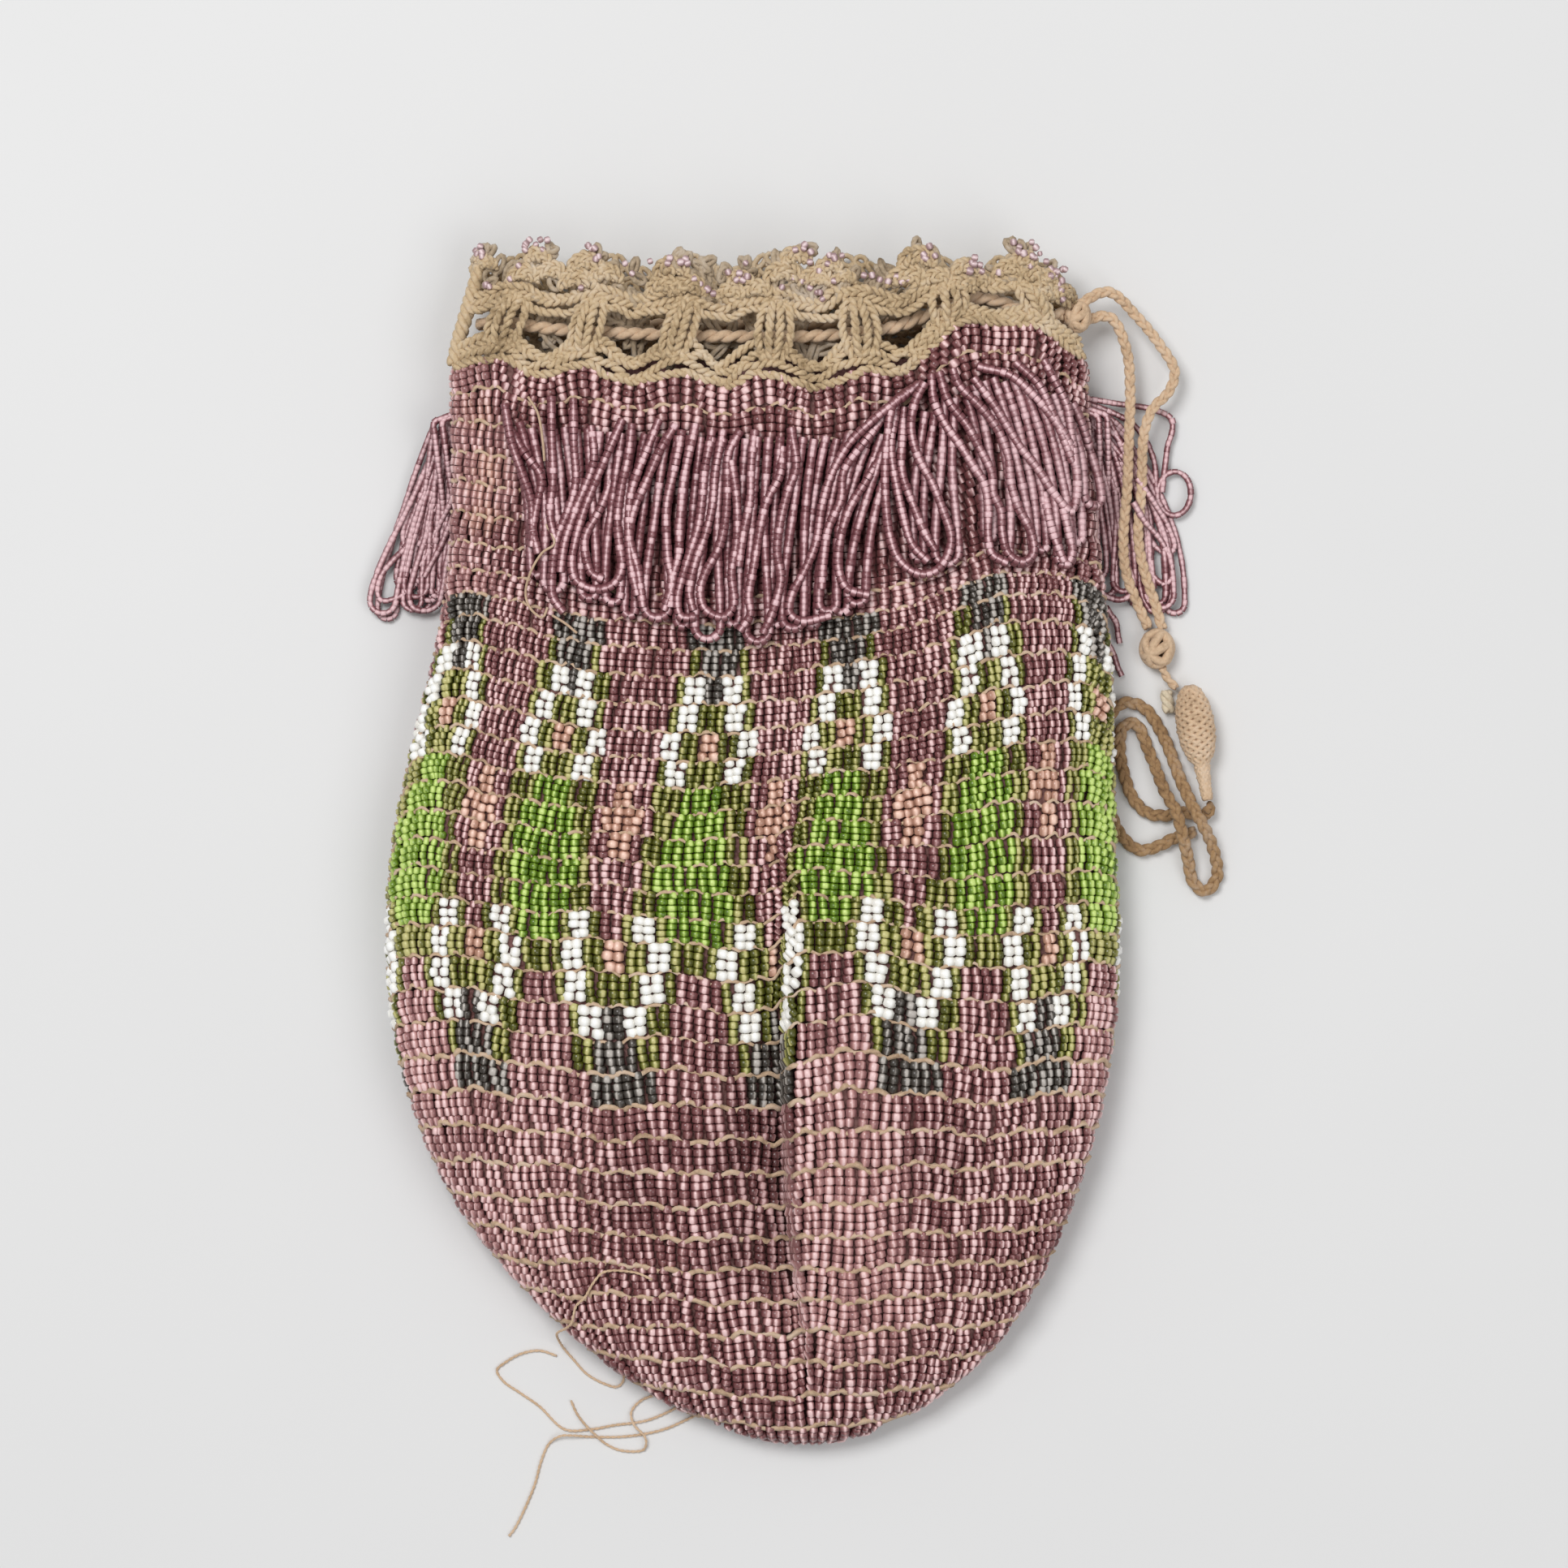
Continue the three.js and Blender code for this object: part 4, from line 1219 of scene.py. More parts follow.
def twisted_cord(name, line, thickness, count, lay, finish, slot):
    """A laid cord: its plies as one mesh along the line."""
    ply = thickness * (0.6 if count == 2 else 0.5)
    offset = (thickness - ply) / 2
    made = strands(name, plies(line, count, lay, offset), ply, sides=2)
    return settle(made, finish, slot)


# How the turns of a round knot tilt and spin
KNOT_TURNS = ((0.3, 0.2), (1.2, 1.1), (0.9, 2.4), (1.45, 3.6), (0.6, 4.6))


def knot_turns(middle, half):
    """Turns of cord of a round knot."""
    t = np.linspace(0, 2 * np.pi, 40, endpoint=False)
    turns = []
    for tilt, spin in KNOT_TURNS:
        ring = np.stack((np.cos(t), np.sin(t) * math.cos(tilt), np.sin(t) * math.sin(tilt)), 1)
        turned = ring.copy()
        turned[:, 0] = ring[:, 0] * math.cos(spin) - ring[:, 1] * math.sin(spin)
        turned[:, 1] = ring[:, 0] * math.sin(spin) + ring[:, 1] * math.cos(spin)
        turns.append(middle + turned * half)
    return turns


def braided_cord(name, line, thickness, lay, finish, slot):
    """A braided cord: its three strands as one mesh along the line."""
    strand = 0.48 * thickness
    lines = braid(line, lay, (thickness - strand) / 2, 0.17 * thickness)
    return settle(strands(name, lines, strand), finish, slot)


def run_knots():
    """Points of the drawstring: in at the right corner, round behind the posts and out again."""
    out = -0.2 * MM - LACE_WALL - GAP - DRAWSTRING / 2
    inner = lace_front(1.0, EYELET_LEVEL, 0.0) - np.array((1.2 * DRAWSTRING, 0, 0))
    beside = np.array((0, 0.6 * DRAWSTRING, 0.5 * DRAWSTRING))
    knots = [inner + beside, lace_front(0.95, EYELET_LEVEL, out - 0.4 * DRAWSTRING)]
    knots += [lace_front(2 * m / POSTS - 1, EYELET_LEVEL, out) for m in range(POSTS - 1, 0, -1)]
    knots += [lace_front(-0.93, EYELET_LEVEL, out), lace_front(-1.0, EYELET_LEVEL, out)]
    knots += [lace_back(-0.93, EYELET_LEVEL, out - 0.6 * DRAWSTRING)]
    knots += [lace_back(2 * m / POSTS - 1, EYELET_LEVEL, out) for m in range(1, POSTS)]
    return knots + [lace_back(0.91, EYELET_LEVEL, out - 0.8 * DRAWSTRING), inner - beside]


class RETICULE_OT_drawstring(bpy.types.Operator):
    """Lays the drawstring behind the posts, its two tails and their knot."""

    bl_idname = "reticule.drawstring"
    bl_label = "Drawstring"

    def execute(self, context):
        cord_cotton = cotton("drawstring_cotton", colours_of(context).cord, 1500.0)
        tails = []
        for name, side, knots in (("outer", 1, TAIL_OUTER), ("inner", -1, TAIL_INNER)):
            line = route(np.vstack((cord_end(side), np.array(knots) * MM)), 0.45 * MM) + SHIFT
            tail = braided_cord(f"tail_{name}", line, DRAWSTRING, TAIL_LAY, cord_cotton, "drawstring")
            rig.replaces(tail, f"drawstring_tail_{name}")
            tails.append((tail, line))
        turns = knot_turns(KNOT_AT + SHIFT, KNOT_HALF - np.array((0.5, 0.3, 0.8)) * MM)
        knot = settle(strands("tail_knot", turns, 1.6 * MM, sides=2, closed=True), cord_cotton, "drawstring")
        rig.replaces(knot, "drawstring_knot")
        for tail, line in tails:
            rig.cord(
                tail, exit=line[0], length=line_length(line), diameter=DRAWSTRING, far_end="knot",
                stiffness="limp", path=line, with_pieces=[knot] if tail is tails[0][0] else [],
            )
        line = route(np.array(run_knots()), 0.6 * MM)
        run = twisted_cord("drawstring_in_eyelets", line, RUN_SHOWN, 2, RUN_LAY, cord_cotton, "drawstring")
        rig.replaces(run, "drawstring_run")
        corner = 0.5 * (cord_end(1) + cord_end(-1)) + np.array((2.0, 0.8, 0.4)) * MM + SHIFT
        turns = knot_turns(corner, np.array((1.7, 2.3, 1.5)) * MM)
        settle(strands("corner_knot", turns, 1.5 * MM, closed=True), cord_cotton, "drawstring")
        return {"FINISHED"}


def ball_radius(t):
    """Radius of the woven ball and its neck at a length t along it."""
    a = np.arccos(np.clip(1 - 2 * (t - BALL_NECK) / BALL_LENGTH, -1, 1))
    bulb = BALL / 2 * np.maximum(np.sin(a), 0) ** 0.8
    neck = np.interp(t, (0, 3 * MM, 5.6 * MM, 7 * MM), (1.1 * MM, 1.2 * MM, 1.5 * MM, 1.5 * MM))
    return np.where(t < 7 * MM, np.maximum(neck, bulb), bulb)


def on_ball(angle, t, out):
    """Points of the ball at an angle round it and a length along it, out off its form."""
    radius = ball_radius(t) + out
    x, y, z = radius * np.cos(angle), t, radius * np.sin(angle)
    cos, sin = math.cos(BALL_TURN), math.sin(BALL_TURN)
    return np.stack((x * cos - y * sin, x * sin + y * cos, z), -1) + BALL_AT + SHIFT


def ball_core(context):
    """The form under the weave of the ball."""
    clear_selection()
    turned = math.pi / 2, 0, 0
    bpy.ops.mesh.primitive_uv_sphere_add(segments=20, ring_count=22, radius=1, rotation=turned)
    core = context.object
    bpy.ops.object.transform_apply(location=False, rotation=True, scale=False)
    points = np.empty(len(core.data.vertices) * 3)
    core.data.vertices.foreach_get("co", points)
    points = points.reshape(-1, 3)
    t = (0.5 + 0.5 * points[:, 1]) * (BALL_NECK + BALL_LENGTH)
    angle = np.arctan2(points[:, 2], points[:, 0])
    poles = np.abs(points[:, 1]) > 0.9999
    shaped = np.where(poles[:, None], on_ball(angle, t, -ball_radius(t)), on_ball(angle, t, -0.7 * MM))
    core.data.vertices.foreach_set("co", shaped.ravel())
    core.data.update()
    return core


def ball_weave():
    """Strands that cross over and under each other round the ball."""
    t = np.linspace(0.2 * MM, 6.0 * MM + BALL_LENGTH, 46)
    for hand in (-1, 1):
        for i in range(WEAVE):
            angle = 2 * np.pi * i / WEAVE + hand * WEAVE_TURNS * np.pi * t / BALL_LENGTH
            weave = 0.16 * MM * np.cos(WEAVE * WEAVE_TURNS * np.pi * t / BALL_LENGTH * hand + np.pi * i)
            yield on_ball(angle, t, -0.55 * MM + hand * weave)


class RETICULE_OT_tassel(bpy.types.Operator):
    """Makes the link, the cut stub, the woven ball and the braided pull loop."""

    bl_idname = "reticule.tassel"
    bl_label = "Tassel"

    def execute(self, context):
        colours = colours_of(context)
        ball_cotton = cotton("ball_cotton", colours.cord, 1300.0, 1.2)
        link_line = route(np.array(LINK) * MM, 0.3 * MM) + SHIFT
        link = twisted_cord("link_cord", link_line, LINK_CORD, 2, LINK_LAY, ball_cotton, "drawstring")
        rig.replaces(link, "tassel_link")
        ends = np.array(((0.29, -1.75, 0.0), (0.1, -0.6, 0.0), (-0.1, 0.6, 0.0), (-0.26, 1.75, 0.0))) * MM
        stub_line = route(STUB_AT + ends, 0.3 * MM) + SHIFT
        ivory = cotton("ivory_cotton", colours.ivory, 1800.0, 0.8)
        stub = twisted_cord("ivory_stub", stub_line, STUB, 3, STUB_LAY, ivory, "ivory_cord")
        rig.replaces(stub, "cord_stub")
        core = ball_core(context)
        woven = strands("woven", ball_weave(), 0.85 * MM)
        make_active(core)
        bpy.ops.object.shade_smooth()
        ball = settle(joined("woven_ball", [core, woven]), ball_cotton, "woven_ball")
        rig.replaces(ball, "tassel_ball")
        line = route(np.array(PULL) * MM, 0.5 * MM) + SHIFT
        pull_cotton = cotton("pull_cotton", colours.pull, 1300.0, 1.1)
        loop = braided_cord("pull_loop_cord", line, PULL_CORD, PULL_LAY, pull_cotton, "pull_cord")
        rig.replaces(loop, "pull_loop")
        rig.cord(
            loop, exit=line[0], length=line_length(line), diameter=PULL_CORD, far_end="object",
            stiffness="limp", path=line, with_pieces=[ball, link, stub],
        )
        return {"FINISHED"}


class RETICULE_OT_loose_threads(bpy.types.Operator):
    """Lays the broken ends of the sewing thread at the base and on the belly."""

    bl_idname = "reticule.loose_threads"
    bl_label = "Loose threads"

    def execute(self, context):
        thread_cotton = cotton("loose_thread_cotton", colours_of(context).cord, 2200.0, 0.8)
        for i, knots in enumerate(STRAYS, 1):
            knots = np.array(knots) * MM + SHIFT
            if i == len(STRAYS):
                on_belly = over(*(np.array(STRAY_ON_BELLY).T * MM), ROW_RELIEF)
                knots = np.vstack((on_belly + (0, 0, GAP + THREAD / 2), knots))
            line = route(knots, 0.3 * MM)
            name = f"broken_thread_{i}"
            thread = twisted_cord(name, line, THREAD, 2, THREAD_LAY, thread_cotton, "thread")
            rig.replaces(thread, f"loose_thread_{i}")
            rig.cord(
                thread, exit=line[0], length=line_length(line), diameter=THREAD, far_end="bare",
                stiffness="limp", path=line,
            )
        return {"FINISHED"}


# Share of the lining's grid that makes the front, how far the cloth lies under the beads, and its thickness
FRONT_PART = 0.6
FRONT_UNDER = 0.55 * MM
BACK_UNDER = 1.1 * MM
FOLD_UNDER = 2.2 * MM
FOLD_UNDER_WIDTH = 4 * MM
FOLD_UNDER_ENDS = 80 * MM, 105 * MM
CLOTH = 0.7 * MM


class RETICULE_OT_lining(bpy.types.Operator):
    """Makes the cloth shell that carries the bead rows."""

    bl_idname = "reticule.lining"
    bl_label = "Lining"

    def execute(self, context):
        clear_selection()
        bpy.ops.mesh.primitive_grid_add(x_subdivisions=96, y_subdivisions=48, size=1)
        cloth = context.object
        cloth.name = "lining_shell"
        count = len(cloth.data.vertices)
        points = np.empty(count * 3)
        cloth.data.vertices.foreach_get("co", points)
        u, v = points.reshape(-1, 3)[:, 0] + 0.5, points.reshape(-1, 3)[:, 1] + 0.5
        side = np.where(u < FRONT_PART, u / FRONT_PART, (1 - u) / (1 - FRONT_PART))
        xi = mix(2 * side - 1, np.sin(np.pi * (2 * side - 1) / 2), 0.55)
        h = mix(1.4 * MM, BAG_LENGTH - 0.3 * MM, v**1.1)
        at_fold = np.exp(-(((xi - FOLD_AT) * half_width(h) / FOLD_UNDER_WIDTH) ** 2))
        at_fold = at_fold * (1 - smooth(h, *FOLD_UNDER_ENDS))
        over_face = front(xi, h, -FRONT_UNDER) - np.outer(FOLD_UNDER * at_fold, (0, 0, 1))
        under_face = back(xi, h, -BACK_UNDER)
        blend = smooth(np.abs(xi), 0.9, 1.0)[:, None]
        seam = 0.5 * (over_face + under_face)
        in_front = (u < FRONT_PART)[:, None]
        shaped = np.where(in_front, mix(over_face, seam, blend), mix(under_face, seam, blend))
        tip = v < 1e-4
        shaped[tip] = shaped[tip].mean(0)
        cloth.data.vertices.foreach_set("co", shaped.ravel())
        make_active(cloth)
        bpy.ops.object.mode_set(mode="EDIT")
        bpy.ops.mesh.select_all(action="SELECT")
        bpy.ops.mesh.remove_doubles(threshold=1e-6)
        bpy.ops.mesh.normals_make_consistent(inside=False)
        bpy.ops.object.mode_set(mode="OBJECT")
        wall = cloth.modifiers.new("wall", "SOLIDIFY")
        wall.thickness = CLOTH
        wall.offset = -1
        bpy.ops.object.modifier_apply(modifier="wall")
        bpy.ops.object.shade_smooth()
        settle(cloth, lining_cloth(colours_of(context).lining), "beadwork")
        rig.replaces(cloth, "beaded_bag")
        return {"FINISHED"}


# Paler and darker places of the glass: place and radius in millimetres, and how far it pales, or darkens below nought.
# The pale ones right of the lap fold are partly faded glass and partly painted light, and those near the belly edges
# are painted light; the dark ones along the left of the fold and in the dent to its left are painted shade.
FADING_AND_PAINTED_LIGHT = (
    (14, 66, 15, 0.7), (14, 48, 17, 0.85), (15, 28, 18, 0.75), (-44, 62, 30, 0.3), (-51, 168, 15, 0.75),
    (-52, 150, 10, 0.6), (-53, 185, 9, 0.6), (-60, 70, 18, 0.6), (60, 66, 18, 0.5), (-44, 34, 16, 0.4),
    (-2, 66, 12, -0.55), (-3, 52, 13, -0.65), (-2, 36, 12, -0.5), (31, 52, 12, -0.3), (3, 74, 6, -0.5),
    (3.5, 58, 6, -0.6), (4, 46, 6, -0.45), (-8, 128, 14, -0.3), (34, 128, 12, -0.3), (-24, 44, 9, -0.4),
)
# Light painted on the glass near the edges of the belly: place and radius in millimetres, and how far it pales
PAINTED_EDGE_LIGHT = ((-61, 92, 15, 0.5), (-60, 112, 14, 0.45), (60, 88, 14, 0.45), (59, 112, 13, 0.45))
# Paler patches of the fringe glass: place and radius in millimetres, and how far it pales
PALER_FRINGE = ((46, 170, 17, 0.5), (30, 164, 12, 0.25), (-62, 160, 22, 0.35), (64, 160, 18, 0.35))
RUST = ((-49, 178, 5), (-48, 168, 6), (-48, 160, 5))
UNEVEN = {"olive": 0.22, "green": 0.2, "white": 0.1, "peach": 0.2, "slate": 0.28}
PLUM_UNEVEN = 0.2
FRINGE_UNEVEN = 0.2
LILAC_UNEVEN = 0.16


def glass_finishes(colours):
    """The glass of each colour in the rows."""
    made = {}
    for kind, spread in UNEVEN.items():
        made[kind] = glass(f"{kind}_glass", colours, kind, spread, PAINTED_EDGE_LIGHT)
    made["plum"] = glass("plum_glass", colours, "plum", PLUM_UNEVEN, FADING_AND_PAINTED_LIGHT, RUST)
    return made


# Shares by which the ends of the beads are rounded, and the row that starts the lower zone
ROW_ROUNDING = 0.16
ROUND_ROUNDING = 0.2
FRINGE_ROUNDING = 0.1
LOWER_ROW = 23


class RETICULE_OT_bead_rows(bpy.types.Operator):
    """Strings the rows of glass beads on both faces."""

    bl_idname = "reticule.bead_rows"
    bl_label = "Bead rows"

    def execute(self, context):
        sizes = sizes_of(context)
        finishes = glass_finishes(colours_of(context))
        fine = bead_master(6, ROW_ROUNDING)
        round_bead = bead_master(6, ROUND_ROUNDING)
        plain = bead_master(5, 0)
        upper = [*range(HEADING_ROW), *range(NECK_ROWS - 1, LOWER_ROW)]
        lower, hidden = range(LOWER_ROW, ROWS), range(HEADING_ROW, NECK_ROWS - 1)
        # Zone, its face, rows and bead, the seed of its draws, then how far the strands lie and bow off the
        # wall, and the share of a strand that its beads fill
        zones = (
            ("upper", front, 1, upper, fine, UPPER_SEED, -0.5 * MM, 0.65 * MM, 1.0),
            ("lower", front, 1, lower, fine, LOWER_SEED, -0.5 * MM, 0.65 * MM, 1.0),
            ("under_fringe", front, 1, hidden, plain, HIDDEN_SEED, -0.5 * MM, 0.6 * MM, 0.98),
            ("back", back, -1, range(ROWS), plain, BACK_SEED, -0.72 * MM, 0.02 * MM, 0.98),
        )
        for zone, face, hand, rows, master, seed, *lay in zones:
            gathered = bead_rows(face, hand, rows, sizes, seed, *lay)
            for kind in GLASS_SLOTS:
                if kind in gathered:
                    shape = round_bead if master is fine and kind in ROUND_GLASS else master
                    piece = strung(f"beads_{zone}_{kind}", shape, *gathered[kind])
                    settle(piece, finishes[kind], "beadwork")
        return {"FINISHED"}


# First row with the coarse thread, and the share of a row that shows beside the fringe
COARSE_ROW = FIRST_BASE + 4
BESIDE_FRINGE = 0.16
BACK_THREAD_UNDER = 0.55 * MM


class RETICULE_OT_row_threads(bpy.types.Operator):
    """Lays the sewing thread in scallops between the rows of beads."""

    bl_idname = "reticule.row_threads"
    bl_label = "Row threads"

    def execute(self, context):
        sizes = sizes_of(context)
        rng = np.random.default_rng(THREAD_SEED)
        fine, coarse = [], []
        for row in range(1, ROWS):
            columns = row_columns(row, sizes)
            bare = row <= HEADING_ROW or row >= NECK_ROWS - 1
            shown = columns if bare else BESIDE_FRINGE * columns
            column = np.arange(-1.6, shown + 0.8, 0.34)
            xi = across_face(column, columns)
            swing = np.cumsum(rng.uniform(0.55, 1.15, len(xi)))
            drift = 0.3 * np.sin(0.9 * column + rng.uniform(0, 6))
            drift = drift + 0.2 * np.sin(0.37 * column + rng.uniform(0, 6))
            h = row_height(row) + (0.38 * np.cos(swing) + drift - 0.05) * MM
            h = h + wander(xi, h)
            out = (0.1 + 0.24 * np.cos(swing)) * MM
            (coarse if row >= COARSE_ROW else fine).append(front(xi, h, out))
        for row in range(1, ROWS):
            xi = np.sin(np.linspace(-0.5, 0.5, 26) * np.pi)
            fine.append(back(xi, row_height(row), -BACK_THREAD_UNDER))

        def uneven(count):
            return rng.uniform(0.75, 1.15, count)

        spun = cotton("row_thread_cotton", colours_of(context).thread, 900.0, 1.5)
        settle(strands("row_thread", fine, sizes.row_thread, sides=0, wave=uneven), spun, "thread")
        settle(strands("base_thread", coarse, sizes.base_thread, sides=0, wave=uneven), spun, "thread")
        return {"FINISHED"}


# How far the loops of the front fringe hang and lean, as shares of the drop
FRONT_DROP = (0.7, 0.75, 0.8, 0.89, 0.9, 0.85, 0.8)
FRONT_SWEEP = (0.11, 0.04, -0.1, -0.05, -0.03, -0.1, -0.2)
FAN_DROP = (0.68, 0.72, 0.74, 0.81, 0.8, 0.84, 0.65, 0.46)
FAN_SWEEP = (-0.06, -0.02, 0.1, 0.15, 0.15, 0.17, 0.135, 0.115)


def through(values, t):
    """Value at a share t of the way through a list of evenly spaced values."""
    return np.interp(t, np.linspace(0, 1, len(values)), values)


def front_fringe(kind, count, start, end, drop, sweep):
    """Loops on the front under the loose strands."""
    heading = row_height(HEADING_ROW)
    pitch = (end - start) * half_width(heading) / count
    t = np.arange(count) / (count - 1)
    heads = front(mix(start, end, (np.arange(count) + 0.5) / count), heading, ROW_RELIEF)[:, :2]
    low = through(drop, t) + 0.03 * np.sin(2.4 * np.arange(count))
    feet = heads + FRINGE_DROP * np.stack((through(sweep, t), -low), 1)
    room = np.diff(feet[:, 0], prepend=feet[0, 0] - pitch, append=feet[-1, 0] + pitch)
    near = pitch / 4
    for i in range(count):
        wide = max(near, 0.58 * min(pitch, room[i], room[i + 1])) if i % 2 else near

        def rest(x, y, leg, upper=i % 2):
            return rest_on(x, y) + upper * 0.5 * STRAND * smooth(leg, 0, 0.25)

        yield f"{kind}_{i + 1:02d}", hairpin(heads[i], feet[i], near, wide, rest)


# Loops of a side bunch; every loop whose number is a multiple of six lies where a solid does
SIDE_LOOPS = (0, 1, 3, 4, 6, 7, 9, 10, 12, 13, 15)
SOLID_EVERY = 6
ON_TABLE = STRAND / 2 + 0.02 * MM


def side_fringe(kind, hand, reach, bow, table):
    """A bunch of loops that falls off one side on to the table."""
    rng = np.random.default_rng(SIDE_SEED)
    head = front(hand, row_height(HEADING_ROW), ROW_RELIEF)
    for i in SIDE_LOOPS:
        step = i / SOLID_EVERY
        solid = i % SOLID_EVERY == 0
        start = head[0] + hand * (GAP + 1.1 * STRAND)
        aside = hand * (FRINGE_DROP * reach - 4.3 * STRAND * step)
        foot = start + aside, head[1] - FRINGE_DROP + STRAND * (2 + step)
        high = head[2] - GAP - 1.85 * STRAND * (2 - min(2, step))
        low = ON_TABLE
        shape = bow
        if not solid:
            start -= hand * 2.4 * MM
            high = (5.2 - 1.4 * (i % 3)) * MM
            low += rng.uniform(0.1, 0.8) * STRAND
            foot = foot[0] + rng.uniform(-2.6, 1.6) * MM, foot[1] + rng.uniform(-0.5, 6.5) * MM
            shape = bow * rng.uniform(0.85, 1.25)

        def fall(x, y, leg, high=high, low=low):
            return mix(high, low, smooth(leg, 0, table))

        spread = 1.2 if solid else rng.uniform(0.7, 1.9)
        loop = hairpin((start, head[1]), foot, 0.54 * STRAND, spread * STRAND, fall, shape)
        if solid:
            tuck = np.array((-hand * 3.2, 1.2, 0.0)) * MM
            loop = np.vstack((loop[0] + tuck, loop, loop[-1] + tuck))
        yield f"{kind}_{i // SOLID_EVERY + 1:02d}" if solid else None, loop


STRAND_STEP = 0.5 * MM


def traced_strand(knots, number):
    """A strand that runs out from under the edge of the bag and sinks on to its bunch."""
    places = np.array(knots) * MM
    line = route(np.c_[places, np.zeros(len(places))], STRAND_STEP)
    run = np.arange(len(line)) * STRAND_STEP
    line[:, 2] = mix(4.6 * MM, (1.3 + 0.4 * (number % 3)) * MM, smooth(run, 0, 11 * MM))
    return line + SHIFT


def back_fringe(kind, count):
    """Loops between the back and the table."""
    for i in range(count):
        head = back(mix(-0.72, 0.72, (i + 0.5) / count), row_height(HEADING_ROW), ROW_RELIEF)
        foot = head[0], head[1] - FRINGE_DROP * (1 + 0.035 * math.sin(2.1 * i))

        def lie(x, y, leg):
            return ON_TABLE + 0 * x

        yield f"{kind}_{i + 1:02d}", hairpin(head[:2], foot, 0.7 * STRAND, 1.4 * STRAND, lie)


